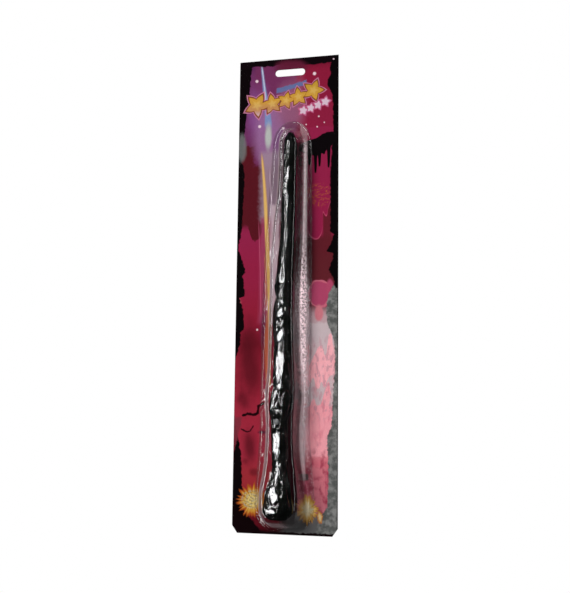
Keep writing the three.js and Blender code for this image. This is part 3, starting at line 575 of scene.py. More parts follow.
class Field:
    """A number or colour made by nodes, with the arithmetic of a plain number."""

    def __init__(self, tree, socket):
        self.tree, self.socket = tree, socket

    def math(self, operation, *others):
        node = self.tree.nodes.new("ShaderNodeMath")
        node.operation = operation
        for socket, value in zip(node.inputs, (self, *others)):
            plug(socket, value)
        return Field(self.tree, node.outputs[0])

    def __add__(self, other):
        return self.math("ADD", other)

    def __sub__(self, other):
        return self.math("SUBTRACT", other)

    def __mul__(self, other):
        return self.math("MULTIPLY", other)

    def __truediv__(self, other):
        return self.math("DIVIDE", other)

    def step(self, low, high, start=0.0, end=1.0):
        """A smooth step from start, at low, to end, at high."""
        node = self.tree.nodes.new("ShaderNodeMapRange")
        node.interpolation_type = "SMOOTHSTEP"
        for socket, value in zip(node.inputs, (self, low, high, start, end)):
            plug(socket, value)
        return Field(self.tree, node.outputs[0])

    def curve(self, points, straight=False):
        """Read a curve through (input, output) pairs."""
        (x0, x1), (y0, y1) = ((min(column), max(column)) for column in zip(*points))
        node = self.tree.nodes.new("ShaderNodeFloatCurve")
        handles = node.mapping.curves[0].points
        scaled = [((x - x0) / (x1 - x0), (y - y0) / ((y1 - y0) or 1)) for x, y in points]
        for place in scaled[1:-1]:
            handles.new(*place)
        handles[0].location, handles[-1].location = scaled[0], scaled[-1]
        for handle in handles:
            handle.handle_type = "VECTOR" if straight else "AUTO"
        node.mapping.update()
        plug(node.inputs["Value"], (self - x0) / (x1 - x0))
        return Field(self.tree, node.outputs[0]) * (y1 - y0) + y0

    def ramp(self, stops, between="EASE"):
        """A colour read off a ramp of (input, display colour) stops."""
        first, last = stops[0][0], stops[-1][0]
        node = self.tree.nodes.new("ShaderNodeValToRGB")
        node.color_ramp.interpolation = between
        elements = node.color_ramp.elements
        while len(elements) < len(stops):
            elements.new(0.5)
        for element, (place, _) in zip(elements, stops):
            element.position = (place - first) / (last - first)
        for element, (_, colour) in zip(elements, stops):
            element.color = (*ink(*colour), 1)
        plug(node.inputs[0], (self - first) / (last - first))
        return Field(self.tree, node.outputs[0])


def blend_colour(tree, below, above, share):
    """above over below, share of the way."""
    node = tree.nodes.new("ShaderNodeMix")
    node.data_type = "RGBA"
    plug(node.inputs[0], share)
    plug(node.inputs[6], below)
    plug(node.inputs[7], above)
    return Field(tree, node.outputs[2])


def combine_xyz(tree, x, y, z):
    node = tree.nodes.new("ShaderNodeCombineXYZ")
    for socket, value in zip(node.inputs, (x, y, z)):
        plug(socket, value)
    return Field(tree, node.outputs[0])


def noise_of(tree, vector, scale, detail=2.0, roughness=0.5, distortion=0.0):
    """Noise from about -1 to 1."""
    node = tree.nodes.new("ShaderNodeTexNoise")
    plug(node.inputs["Vector"], vector)
    plug(node.inputs["Scale"], scale)
    plug(node.inputs["Detail"], detail)
    plug(node.inputs["Roughness"], roughness)
    plug(node.inputs["Distortion"], distortion)
    return Field(tree, node.outputs["Fac"]).step(0.2, 0.8, -1.0, 1.0)


def places_in_mm(tree):
    """Object coordinates in millimetres, as a vector and as x, y and z."""
    source = tree.nodes.new("ShaderNodeTexCoord").outputs["Object"]
    scale = tree.nodes.new("ShaderNodeVectorMath")
    scale.operation = "SCALE"
    tree.links.new(source, scale.inputs[0])
    scale.inputs["Scale"].default_value = 1 / MM
    split = tree.nodes.new("ShaderNodeSeparateXYZ")
    tree.links.new(scale.outputs[0], split.inputs[0])
    return (Field(tree, scale.outputs[0]), *(Field(tree, socket) for socket in split.outputs))


def blank_material(name):
    """A new material with its node tree and an output that has nothing plugged in yet."""
    material = bpy.data.materials.new(name)
    material.use_nodes = True
    material.node_tree.nodes.clear()
    output = material.node_tree.nodes.new("ShaderNodeOutputMaterial")
    return material, material.node_tree, output


def principled(tree, output, **inputs):
    shader = tree.nodes.new("ShaderNodeBsdfPrincipled")
    for name, value in inputs.items():
        plug(shader.inputs[name.replace("_", " ")], value)
    tree.links.new(shader.outputs[0], output.inputs["Surface"])
    return shader


def bump(tree, height, distance_mm, strength=1.0):
    node = tree.nodes.new("ShaderNodeBump")
    plug(node.inputs["Height"], height)
    node.inputs["Distance"].default_value = distance_mm * MM
    node.inputs["Strength"].default_value = strength
    return Field(tree, node.outputs[0])


# ---- the card's print -------------------------------------------------------------------------


class Print:
    """Shapes painted one over another on the card's face. Lengths are millimetres on the card."""

    def __init__(self, tree, x, z, ground):
        self.tree, self.x, self.z, self.colour = tree, x, z, ground
        self.rough = self.noise(3.0, 3.0, 1.7)
        self.drift = self.noise(15, 22, 8.3)
        self.streak = self.noise(2.4, 30, 4.1)

    def noise(self, width, height, seed, detail=2.0):
        place = combine_xyz(self.tree, self.x / width, self.z / height, seed)
        return noise_of(self.tree, place, 1.0, detail)

    def paint(self, colour, share):
        self.colour = blend_colour(self.tree, self.colour, ink(*colour), share)

    def reach(self, centre, size):
        """Distance from centre, counted in half widths and half heights."""
        across, up = (self.x - centre[0]) / size[0], (self.z - centre[1]) / size[1]
        return (across * across + up * up).math("SQRT")

    def blob(self, colour, centre, size, soft=0.35, strength=1.0, ragged=0.2):
        far = self.reach(centre, size) + self.drift * ragged
        self.paint(colour, far.step(1 - soft, 1 + soft, strength, 0.0))

    def fill(self, colour, across, up, soft=0.5, strength=1.0, ragged=0.0, wander=None):
        """Fill between two sides and between two heights; a bound may itself be a curve."""
        wander = wander or self.rough
        x, z = self.x + wander * ragged, self.z + wander * ragged
        share = None
        for value, low, high in ((x, *across), (z, *up)):
            for bound, start in ((low, 0.0), (high, 1.0)):
                if bound is None:
                    continue
                inside = (value - bound).step(-soft, soft, start, 1 - start)
                share = inside if share is None else share * inside
        self.paint(colour, share * strength)

    def trail(self, colour, path, soft=0.5, strength=1.0, fade=6.0):
        """A beam up the card through (height, x, half width), lowest first."""
        centre = self.z.curve([(z, x) for z, x, _ in path])
        half = self.z.curve([(z, width) for z, _, width in path])
        off = (self.x - centre).math("ABSOLUTE") - half
        low, high = path[0][0], path[-1][0]
        ends = self.z.step(low, low + fade) * self.z.step(high - fade, high, 1.0, 0.0)
        self.paint(colour, off.step(-soft, soft, strength, 0.0) * ends)

    def stroke(self, colour, points, half, soft=0.4):
        """A ragged line through (x, z) points."""
        for (x0, z0), (x1, z1) in zip(points, points[1:]):
            dx, dz = x1 - x0, z1 - z0
            square = dx * dx + dz * dz
            along = ((self.x - x0) * (dx / square) + (self.z - z0) * (dz / square)).math("MAXIMUM", 0.0)
            along = along.math("MINIMUM", 1.0)
            far = self.reach_from(along * dx + x0, along * dz + z0) + self.rough * (half * 0.6)
            self.paint(colour, far.step(half - soft, half + soft, 1.0, 0.0))

    def reach_from(self, x, z):
        across, up = self.x - x, self.z - z
        return (across * across + up * up).math("SQRT")

    def star(self, centre, size, turn, waist, points=5):
        """How far out a place is from a star's middle, 1 on the star's outline."""
        across, up = self.x - centre[0], self.z - centre[1]
        angle = up.math("ARCTAN2", across) - math.radians(turn) + 4 * math.pi
        notch = (angle * (points / math.tau)).math("PINGPONG", 0.5) * 2
        outline = (notch.math("POWER", 0.75) * (waist - 1) + 1) * size
        return (across * across + up * up).math("SQRT") / outline


def ground_colours(tree, x, z):
    """Broad colours of the left and right sides of the card, from the bottom up."""
    left = z.ramp([
        (0, (22, 6, 10)), (9, (92, 16, 28)), (24, (120, 26, 36)), (48, (158, 44, 52)), (75, (164, 42, 62)),
        (150, (156, 36, 56)), (176, (128, 26, 44)), (200, (146, 30, 54)), (245, (148, 32, 66)),
        (286, (146, 34, 72)), (296, (84, 22, 30)), (345, (92, 22, 34)), (362, (98, 34, 56)),
        (378, (108, 48, 92)), (440, (112, 50, 98)), (460, (84, 34, 76)),
    ])
    right = z.ramp([
        (0, (104, 104, 104)), (20, (112, 108, 108)), (24, (150, 62, 84)), (52, (172, 56, 84)),
        (66, (216, 112, 126)), (80, (246, 164, 174)), (116, (244, 160, 172)), (128, (182, 152, 154)),
        (140, (244, 168, 176)), (172, (246, 172, 178)), (180, (200, 178, 184)), (202, (190, 158, 164)),
        (214, (118, 50, 62)), (240, (98, 34, 42)), (276, (96, 30, 40)), (284, (142, 32, 66)),
        (345, (146, 30, 68)), (385, (140, 30, 62)), (445, (138, 26, 56)), (460, (96, 16, 38)),
    ])
    return blend_colour(tree, left, right, x.step(-8, 6))


def left_side(sheet):
    """Purple sky, a dark maroon cloud, crimson flames and the cracked ground below them."""
    x, z = sheet.x, sheet.z
    flame_tops = x.curve([
        (-50, 270), (-46, 286), (-42, 293), (-37, 284), (-33, 277), (-28, 279), (-22, 291), (-18, 286),
    ])
    sheet.fill((88, 22, 32), (-47, -24), (flame_tops, 372), 0.8, ragged=1.2)
    sheet.fill((112, 46, 88), (-34, 8), (352, None), 3.0, 0.95, ragged=1.5)
    sheet.blob((136, 78, 142), (-30, 404), (13, 24), 0.5, 0.75)
    sheet.blob((150, 104, 150), (-18, 382), (17, 32), 0.35, 0.85, 0.1)
    sheet.fill((160, 136, 152), (-27, -2), (296, 366), 4.0, 0.8, ragged=1.0)
    sheet.fill((158, 66, 96), (-27, -8), (196, 300), 2.5, 0.75, ragged=1.0, wander=sheet.streak)
    # Painted reflection: a near-white streak between the dome's left foot and the wand, in place of light off
    # the clear left wall.
    sheet.fill((226, 200, 208), (-17, -8), (196, 312), 2.0, 0.85, ragged=1.2, wander=sheet.streak)
    for centre, size, strength in (
        ((-36, 158), (10, 30), 0.75), ((-41, 124), (5, 6), 0.55), ((-34, 80), (7, 13), 0.75),
        ((-29, 56), (4, 3), 0.55), ((-45, 60), (3, 8), 0.4), ((-39, 66), (3, 2.5), 0.4),
    ):
        sheet.blob((78, 16, 26), centre, size, 0.7, strength, 0.3)
    sheet.blob((62, 20, 44), (-22, 93), (5, 1.8), 0.4, 0.8)
    sheet.blob((92, 40, 72), (-22, 190), (3.5, 14), 0.6, 0.6)
    sheet.blob((212, 116, 120), (-47, 211), (2.2, 8), 0.4, 0.7)
    sheet.blob((200, 92, 108), (-47.5, 178), (1.6, 6), 0.4, 0.7)


def torn_edges(sheet):
    """Black borders torn into spikes, with drips and a stone-grey margin on the right."""
    x, z = sheet.x, sheet.z
    ragged_left = z.curve([
        (0, 12), (40, 9.5), (72, 7.5), (107, 0.4), (112, -0.6), (160, -0.4), (176, 5), (187, 5),
        (192, 8.5), (208, 7.5), (221, 3), (222, 9), (243, 6), (246, 9), (258, 5.5), (270, 1),
        (282, 3.5), (300, 5), (345, 6.5), (358, 3), (400, 7), (425, 10), (440, 11), (460, 13),
    ], straight=True)
    sheet.fill((14, 8, 10), (None, ragged_left - 50), (None, None), 0.5, ragged=0.7)
    strip = z.curve([(60, -50.5), (72, -49.6), (90, -45.4), (105, -42.4), (108, -42.2)])
    sheet.fill((128, 46, 60), (None, strip), (60, 107), 0.6, 0.85, ragged=0.6)
    sheet.blob((112, 114, 114), (-47, 373), (4.2, 14), 0.4, 0.8, 0.35)
    sheet.fill((16, 8, 12), (None, None), (453.5, None), 0.6, ragged=2.2, wander=sheet.drift)
    sheet.blob((96, 28, 52), (3, 451), (16, 7.5), 0.4, 0.95)

    ragged_right = z.curve([
        (0, 1), (150, 1), (214, 1.5), (236, 4), (246, 9), (262, 4), (264, 11), (280, 4), (284, 8),
        (340, 8), (388, 5), (420, 6), (427, 10), (434, 11.5), (441, 8), (448, 9), (460, 5),
    ], straight=True)
    speckle = sheet.noise(5, 5, 31, 6.0).step(-0.6, 0.9)
    stone = blend_colour(sheet.tree, ink(88, 90, 88), ink(138, 138, 136), speckle)
    margin = z.curve([
        (0, 20), (16, 18), (30, 9.5), (60, 9), (88, 10), (98, 6.5), (140, 4), (160, 3), (186, 6),
        (205, 11), (226, 8), (244, 1), (460, 0),
    ])
    inside = (x + sheet.rough * 0.8 - 50 + margin).step(-0.6, 0.6)
    sheet.colour = blend_colour(sheet.tree, sheet.colour, stone, inside)
    sheet.fill((12, 8, 10), (ragged_right * -1 + 50, None), (228, None), 0.6, ragged=0.7)
    sheet.fill((10, 8, 9), (49.2, None), (None, None), 0.3)

    blot_top = x.curve([(10, 369), (16, 373), (28, 377), (40, 382), (45, 382), (48, 376)])
    blot_bottom = x.curve([
        (10, 366), (18, 361), (19.5, 360), (20.5, 350), (22.5, 350), (23.5, 359), (25.5, 359), (26.8, 342),
        (28.4, 342), (29.5, 359), (30.8, 348), (32.2, 348), (33.4, 361), (36, 360), (38.5, 364),
        (39.6, 347), (41, 347), (42.5, 367), (48, 372),
    ])
    sheet.fill((14, 9, 12), (11, 47), (blot_bottom, blot_top), 0.5, ragged=0.4)
    sheet.fill((20, 8, 10), (None, None), (None, 2.2), 0.5, ragged=0.8)
    corner = (x * -1.1) - z - 22
    sheet.paint((18, 6, 9), (corner + sheet.rough * 1.5).step(-1, 1))


def right_side(sheet):
    """Magenta tongues, a pink splash, pale flames and a rose column."""
    x = sheet.x
    tongue = x.curve([
        (14, 312), (18, 298), (21, 284), (25, 278), (29, 277), (33, 281), (34.6, 288), (35, 303), (37, 300),
        (38.5, 299), (40, 306), (42, 312), (46, 322),
    ])
    sheet.fill((196, 74, 108), (15, 46), (tongue - 1, 340), 0.5, 0.75, ragged=0.5)
    sheet.fill((146, 32, 70), (16, 46), (tongue + 0.6, 388), 0.6, ragged=0.5)
    sheet.fill((98, 30, 40), (35.4, 43), (262, tongue - 0.8), 0.8, 0.9)
    flecks = sheet.noise(1.5, 1.1, 77, 1.0).step(0.18, 0.34) * sheet.noise(6, 2.2, 19, 0.0).step(-0.3, 0.1)
    patch = sheet.reach((31, 320), (13, 12)).step(0.8, 1.1, 1.0, 0.0)
    sheet.paint((186, 92, 46), flecks * patch * 0.8)

    splash = sheet.reach((31.5, 223), (10.5, 13)) + sheet.drift * 0.28
    sheet.paint((206, 104, 126), splash.step(1.05, 1.15, 1.0, 0.0) * 0.9)
    sheet.paint((174, 68, 102), splash.step(0.88, 1.0, 1.0, 0.0))
    sheet.blob((206, 120, 132), (31.5, 205), (4.2, 8), 0.25, 1.0, 0.1)
    sheet.blob((178, 72, 104), (42, 229), (3.4, 8), 0.3, 1.0, 0.1)

    sheet.fill((204, 186, 190), (22, 46), (118, 196), 1.0, 0.9, ragged=1.4)
    flame_top = x.curve([
        (20, 150), (24, 158), (28, 166), (33, 174), (36, 171), (38, 165), (40, 176), (42.5, 186),
        (45, 176), (47, 150),
    ])
    flame_low = x.curve([
        (20, 150), (24, 140), (26, 144), (29, 136), (32, 134), (34, 140), (37, 136), (40, 142),
        (43, 146), (47, 148),
    ])
    sheet.fill((252, 180, 188), (22, 47), (flame_low, flame_top), 0.7, ragged=0.8, wander=sheet.streak)
    column = x.curve([
        (20, 112), (24, 119), (27, 124), (30, 119), (33, 119), (36, 127), (39, 136), (41, 140),
        (43, 132), (46, 128),
    ])
    side = sheet.z.curve([
        (52, 40), (70, 40.5), (88, 42), (90, 46), (102, 41.5), (118, 42), (136, 46),
    ], straight=True)
    sheet.fill((248, 164, 174), (23, side), (72, column), 1.2, 0.9, ragged=0.9, wander=sheet.streak)
    sheet.fill((214, 122, 134), (22, 40), (19, 62), 2.0, 0.8, ragged=1.5, wander=sheet.streak)
    dust = sheet.noise(3.2, 8, 91.0, 4.0).step(0.0, 0.5) * x.step(22, 25) * sheet.z.step(96, 120)
    sheet.paint((190, 138, 150), dust * sheet.z.step(168, 196, 0.6, 0.0))
    smoke = sheet.noise(5.5, 9, 23.0, 3.0).step(-0.2, 0.9)
    zone = x.step(19, 22) * sheet.z.step(14, 24) * sheet.z.step(56, 100, 1.0, 0.0)
    sheet.paint((150, 44, 68), smoke * zone * 0.8)
    strokes = sheet.noise(3.5, 14, 29.0, 3.0).step(-0.1, 0.9) * x.step(21, 24)
    sheet.paint((214, 104, 122), strokes * sheet.z.step(70, 90) * sheet.z.step(120, 190, 0.45, 0.0))


def light_beams(sheet):
    """A blue beam from the top, a gold one that runs on downwards and the pale streaks by it."""
    sheet.trail((122, 142, 188), [
        (388, -20, 4.2), (405, -21, 2.8), (430, -24.6, 1.6), (457, -28, 0.9),
    ], 0.9, 0.95, 8)
    sheet.trail((192, 196, 214), [(400, -20.8, 0.5), (430, -24.4, 0.6), (457, -28, 0.4)], 0.4, 0.9, 8)
    sheet.blob((182, 188, 182), (-20, 381), (3.2, 12), 0.5, 0.95, 0.1)
    sheet.trail((204, 104, 70), [
        (128, -16.6, 0.2), (146, -17.6, 2.0), (176, -18.4, 2.6), (196, -18.8, 1.2), (212, -19.2, 0.3),
    ], 1.2, 0.9, 12)
    sheet.trail((186, 140, 96), [
        (132, -15.4, 0.8), (190, -16.2, 1.5), (235, -17.8, 1.9), (280, -20, 2.2), (330, -23.2, 1.7),
        (368, -27, 0.8),
    ], 0.6, 0.8, 12)
    sheet.trail((226, 182, 104), [
        (132, -15.4, 0.5), (190, -16.2, 1.1), (235, -17.8, 1.4), (280, -20.1, 1.5), (330, -23.3, 1.1),
        (366, -26.9, 0.4),
    ], 0.4, 0.95, 12)
    sheet.trail((222, 132, 88), [(205, -19.6, 0.3), (235, -20.6, 0.5), (266, -22.4, 0.3)], 0.3, 0.8, 10)
    sheet.trail((216, 190, 204), [(285, -14.2, 0.5), (318, -16.2, 0.5), (350, -18.6, 0.2)], 0.4, 0.75, 14)
    sheet.trail((206, 90, 124), [(200, -25.2, 0.2), (250, -26.5, 0.3), (300, -29, 0.2)], 0.3, 0.6, 12)


def bursts(sheet):
    """A gold spark on the left and a gold flame on the right, low on the card."""
    tree, x, z = sheet.tree, sheet.x, sheet.z
    for centre, size, colours in (
        ((-31, 30), (14, 15), ((176, 84, 30), (206, 152, 60), (226, 200, 120))),
        ((21.5, 23), (10, 13), ((206, 146, 62), (240, 196, 112), (252, 236, 190))),
        ((33.5, 17), (3, 6), ((190, 110, 60), (226, 170, 96), (244, 214, 160))),
    ):
        across, up = x - centre[0], z - centre[1]
        spin = up.math("ARCTAN2", across)
        rays = noise_of(tree, combine_xyz(tree, spin * 4.6, centre[0], 0.0), 1.0, 3.0, 0.7) * 0.34
        far = sheet.reach(centre, size) - rays
        for colour, rim in zip(colours, (0.92, 0.72, 0.45)):
            sheet.paint(colour, far.step(rim - 0.1, rim + 0.1, 1.0, 0.0))
    rings = sheet.reach((-31, 31), (10, 8))
    band = (rings * 2.6).math("PINGPONG", 0.5).step(0.18, 0.3) * rings.step(0.95, 1.15, 1.0, 0.0)
    sheet.paint((176, 164, 140), band * sheet.noise(1.3, 4, 55).step(-0.5, 0.3) * 0.85)
    sheet.paint((120, 84, 30), sheet.noise(1.4, 1.4, 62).step(0.1, 0.5) * rings.step(0.9, 1.2, 0.7, 0.0))


def title_stars(sheet):
    """Gold stars on a rising line with a silver row below them, where a pack has its title."""
    gold = sheet.z.ramp([
        (402, (206, 170, 178)), (410, (190, 134, 84)), (418, (204, 152, 60)), (434, (190, 146, 54)),
    ])
    sheet.blob((150, 92, 122), (3, 410), (13, 26), 0.6, 0.8)
    ribbon = sheet.x.curve([(-14, 427.5), (0, 430), (20, 435)])
    sheet.fill((94, 112, 160), (-12, 18), (ribbon - 2.4, ribbon + 2.4), 0.8, 0.9, ragged=0.6)
    row = (
        ((-32, 414), 12.5, 62.0), ((-16.5, 414.5), 10.5, 100.0), ((-2.5, 417), 9.0, 76.0),
        ((10, 420), 9.6, 98.0), ((25, 425.5), 10.8, 70.0),
    )
    stars = [sheet.star(centre, size, turn, 0.5) for centre, size, turn in row]
    for rim, colour in ((1.3, (204, 128, 158)), (1.17, (92, 34, 52)), (1.08, (150, 92, 34))):
        for star in stars:
            sheet.paint(colour, (star * 12).step(rim * 12 - 1, rim * 12 + 0.6, 1.0, 0.0))
    for star in stars:
        sheet.colour = blend_colour(sheet.tree, sheet.colour, gold, star.step(0.9, 0.98, 1.0, 0.0))
        sheet.paint((228, 196, 112), star.step(0.2, 0.62, 0.4, 0.0))
    for centre, size in (((15, 405.5), 4.9), ((22.5, 407.5), 4.6), ((29.8, 410), 4.8), ((37, 413), 5.0)):
        star = sheet.star(centre, size, 80.0, 0.55)
        sheet.paint((190, 92, 132), star.step(1.22, 1.42, 1.0, 0.0))
        sheet.paint((216, 188, 204), star.step(0.84, 1.0, 1.0, 0.0))


def small_lights(sheet):
    """Twinkles in the sky."""
    for centre, size in (
        ((-32.5, 439), 2.0), ((26, 442.5), 2.2), ((-29, 392), 2.0), ((-5, 388.5), 1.9), ((30.5, 398.5), 1.2),
        ((29, 388), 1.0), ((36, 392), 0.9), ((-28.5, 190), 1.3), ((45, 456), 1.0), ((18, 391), 0.9),
    ):
        sheet.paint((236, 210, 220), sheet.reach(centre, (size, size)).step(0.45, 1.0, 0.95, 0.0))


def card_material():
    """Printed and varnished on the face, bare grey board on the back and the edges."""
    material, tree, output = blank_material("printed_card")
    place, x, y, z = places_in_mm(tree)
    sheet = Print(tree, x, z, ground_colours(tree, x, z))
    left_side(sheet)
    right_side(sheet)
    # Painted shadow: dark maroon bands behind and to the right of the wand. This is darker print, deepened
    # where the wand's shadow falls on the card.
    sheet.fill((52, 11, 22), (-7, 14), (20, 380), 2.5, 0.94, ragged=1.5)
    sheet.fill((74, 16, 32), (0, 18), (24, 132), 3.0, 0.8, ragged=1.5)
    light_beams(sheet)
    torn_edges(sheet)
    sheet.stroke((34, 8, 14), [
        (-41, 108.5), (-37, 110.2), (-30, 109.4), (-27, 110.6), (-26, 117.5), (-21, 120.5),
    ], 1.1)
    sheet.stroke((60, 12, 24), [(-43, 96), (-37, 93), (-34, 94), (-31, 98.5)], 0.6)
    sheet.fill((92, 84, 84), (13, 22.5), (49.5, 55.7), 0.5, 0.85, ragged=0.2)
    bursts(sheet)
    title_stars(sheet)
    small_lights(sheet)
    grain = noise_of(tree, place, 1.6, 3.0) * 0.09 + 1.0
    shade = combine_xyz(tree, grain, grain, grain)
    node = tree.nodes.new("ShaderNodeVectorMath")
    node.operation = "MULTIPLY"
    plug(node.inputs[0], sheet.colour)
    plug(node.inputs[1], shade)
    printed = Field(tree, node.outputs[0])
    fibre = noise_of(tree, place, 0.7, 4.0)
    board = blend_colour(tree, ink(168, 165, 158), ink(188, 186, 180), fibre.step(-0.7, 0.7))
    face = y.step(CARD_FACE + 0.02, CARD_FACE + 0.06, 1.0, 0.0)
    principled(
        tree, output,
        Base_Color=blend_colour(tree, board, printed, face),
        Roughness=face * -0.56 + 0.82,
        Specular_IOR_Level=0.25,
        Normal=bump(tree, fibre, 0.02, 0.3),
    )
    return material


# ---- the other materials ----------------------------------------------------------------------

# The clear sheet's whitening, partly haze and partly a painted sheen that stands in for the walls'
# reflections: its colour, its share edge-on and face-on, and the most it mirrors.
SHEET_HAZE_AND_SHEEN = {"colour": (1.0, 0.8, 0.84), "edge": 0.55, "face": 0.0, "mirror": 0.15}


def clear_sheet():
    """Thin clear plastic: it lets light through, mirrors some of it and whitens where seen edge-on. The
    whitening is partly a painted sheen, and on the right wall and seal a painted glare.
    """
    material, tree, output = blank_material("clear_sheet")
    place, x, y, z = places_in_mm(tree)
    ripple = noise_of(tree, place, 0.08, 2.0) * 0.35 + noise_of(tree, place, 0.3, 1.0) * 0.05
    seal = y.step(12.0, 15.0) * x.step(12.0, 14.0) * z.step(40, 130) * z.step(300, 360, 1.0, 0.0)
    blisters = noise_of(tree, place, 0.62, 2.0, 0.6, 0.6) * seal * 0.6
    normal = bump(tree, ripple + blisters, 0.55)
    slant = tree.nodes.new("ShaderNodeLayerWeight")
    slant.inputs["Blend"].default_value = 0.5
    # Painted sheen: whitish-pink haze where a wall is seen edge-on, mostly on the left, in place of the
    # walls' reflections.
    edge_on_haze_and_sheen = Field(tree, slant.outputs["Facing"]).math("POWER", 4.0) * x.step(0, 8, 1.0, 0.04)
    # Painted glare: a mottled white band on the right wall, strongest from z 130 to 280, in place of the
    # highlight along the wall.
    right_wall = (y - z.step(205, 265, 7.5, 12.6)).step(0.0, 2.8) * x.step(11.5, 13.0)
    right_wall = right_wall * x.step(18.4, 20.5, 1.0, 0.0) * z.step(20, 60)
    glare = z.step(130, 170) * z.step(215, 280, 1.0, 0.0)
    mottle = noise_of(tree, place, 0.5, 2.0, 0.6, 0.5).step(-0.3, 0.5) * y.step(9.5, 13.5)
    wall_painted_glare = mottle * (glare * 0.75 + 0.1) + 0.13 + glare * 0.1 + z.step(240, 275) * 0.16
    wall_painted_glare = right_wall * wall_painted_glare * z.step(366, 378, 1.0, 0.25)
    # Painted sheen: mottled whitening on the right seal, partly the seal's own mottling and partly a painted
    # highlight.
    right_seal = y.step(14.6, 15.6) * x.step(16.0, 17.5) * x.step(20.5, 23.0, 1.0, 0.0)
    right_seal = right_seal * z.step(60, 150) * z.step(215, 265, 1.0, 0.0)
    seal_mottle_and_painted_sheen = noise_of(tree, place, 0.7, 2.0, 0.6, 0.8).step(-0.4, 0.6) * 0.4 + 0.08
    whitening_and_painted_glare = wall_painted_glare + right_seal * seal_mottle_and_painted_sheen
    fresnel = tree.nodes.new("ShaderNodeFresnel")
    fresnel.inputs["IOR"].default_value = 1.5
    plug(fresnel.inputs["Normal"], normal)
    clear = tree.nodes.new("ShaderNodeBsdfTransparent")
    clear.inputs["Color"].default_value = (0.965, 0.965, 0.97, 1)
    mirror = tree.nodes.new("ShaderNodeBsdfAnisotropic")
    mirror.inputs["Color"].default_value = (1, 1, 1, 1)
    mirror.inputs["Roughness"].default_value = 0.12
    plug(mirror.inputs["Normal"], normal)
    haze_and_painted_sheen = tree.nodes.new("ShaderNodeBsdfDiffuse")
    haze_and_painted_sheen.inputs["Color"].default_value = (*SHEET_HAZE_AND_SHEEN["colour"], 1)
    hazy, sheet = (tree.nodes.new("ShaderNodeMixShader") for _ in range(2))
    plug(hazy.inputs[0], edge_on_haze_and_sheen * SHEET_HAZE_AND_SHEEN["edge"] + whitening_and_painted_glare + SHEET_HAZE_AND_SHEEN["face"])
    plug(sheet.inputs[0], (Field(tree, fresnel.outputs[0]) * 1.5).math("MINIMUM", SHEET_HAZE_AND_SHEEN["mirror"]))
    for mix, first, second in ((hazy, clear, haze_and_painted_sheen), (sheet, hazy, mirror)):
        tree.links.new(first.outputs[0], mix.inputs[1])
        tree.links.new(second.outputs[0], mix.inputs[2])
    tree.links.new(sheet.outputs[0], output.inputs["Surface"])
    return material


def moulded_plastic(name, dark, light, roughness, skin=0.012):
    """Injection-moulded plastic with faint flow marks and a slightly uneven polish."""
    material, tree, output = blank_material(name)
    place = places_in_mm(tree)[0]
    flow = noise_of(tree, place, 0.12, 3.0)
    grain = noise_of(tree, place, 5.0, 2.0)
    principled(
        tree, output,
        Base_Color=blend_colour(tree, ink(*dark), ink(*light), flow.step(-0.8, 0.8)),
        Roughness=noise_of(tree, place, 0.5, 3.0) * 0.03 + roughness,
        Normal=bump(tree, grain * 0.3 + noise_of(tree, place, 0.9, 2.0), skin),
    )
    return material


def metal(name, dark, light, roughness, stretch=(1.0, 1.0, 12.0)):
    """Plated metal, brushed along the directions in which stretch is small."""
    material, tree, output = blank_material(name)
    _, x, y, z = places_in_mm(tree)
    brushed = noise_of(tree, combine_xyz(tree, x * stretch[0], y * stretch[1], z * stretch[2]), 1.4, 3.0)
    stain = noise_of(tree, combine_xyz(tree, x, y, z), 0.35, 3.0)
    principled(
        tree, output,
        Base_Color=blend_colour(tree, ink(*dark), ink(*light), stain.step(-0.7, 0.5)),
        Metallic=1.0,
        Roughness=brushed * 0.08 + roughness,
        Normal=bump(tree, brushed, 0.01),
    )
    return material


def fibrous(name, dark, light):
    """Pressed paper pulp."""
    material, tree, output = blank_material(name)
    place = places_in_mm(tree)[0]
    fibre = noise_of(tree, place, 1.8, 5.0, 0.7, 1.2)
    principled(
        tree, output, Base_Color=blend_colour(tree, ink(*dark), ink(*light), fibre.step(-0.6, 0.6)),
        Roughness=0.85, Normal=bump(tree, fibre, 0.06),
    )
    return material


def board_laminate():
    """Green solder mask over copper tracks, with tinned pads."""
    material, tree, output = blank_material("circuit_board")
    place, x, _, z = places_in_mm(tree)
    lane = (x * 0.9 + (z * 0.16).math("SINE") * 0.6).math("PINGPONG", 0.5).step(0.16, 0.22)
    pads = tree.nodes.new("ShaderNodeTexVoronoi")
    plug(pads.inputs["Vector"], place)
    pads.inputs["Scale"].default_value = 0.34
    pad = Field(tree, pads.outputs["Distance"]).step(0.24, 0.27, 1.0, 0.0)
    mask = blend_colour(tree, ink(62, 124, 66), ink(30, 82, 42), lane)
    principled(
        tree, output, Base_Color=blend_colour(tree, mask, ink(196, 196, 190), pad),
        Metallic=pad * 0.9, Roughness=0.38, Normal=bump(tree, pad - lane * 0.5, 0.04),
    )
    return material


def banded_resistor():
    """A tan body with four coloured bands across its length."""
    material, tree, output = blank_material("resistor")
    place, _, _, z = places_in_mm(tree)
    bottom, top = (corner.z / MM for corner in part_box("led_resistor"))
    body = (196, 166, 116)
    stops = [(0.0, body)]
    for start, end, colour in (
        (0.2, 0.32, (150, 60, 30)), (0.4, 0.52, (30, 26, 24)), (0.6, 0.72, (176, 36, 30)),
        (0.84, 0.93, (190, 150, 60)),
    ):
        stops += [(start, colour), (end, body)]
    principled(
        tree, output,
        Base_Color=((z - bottom) / (top - bottom)).ramp([*stops, (1.0, body)], "CONSTANT"),
        Roughness=0.42, Normal=bump(tree, noise_of(tree, place, 3.0), 0.02),
    )
    return material


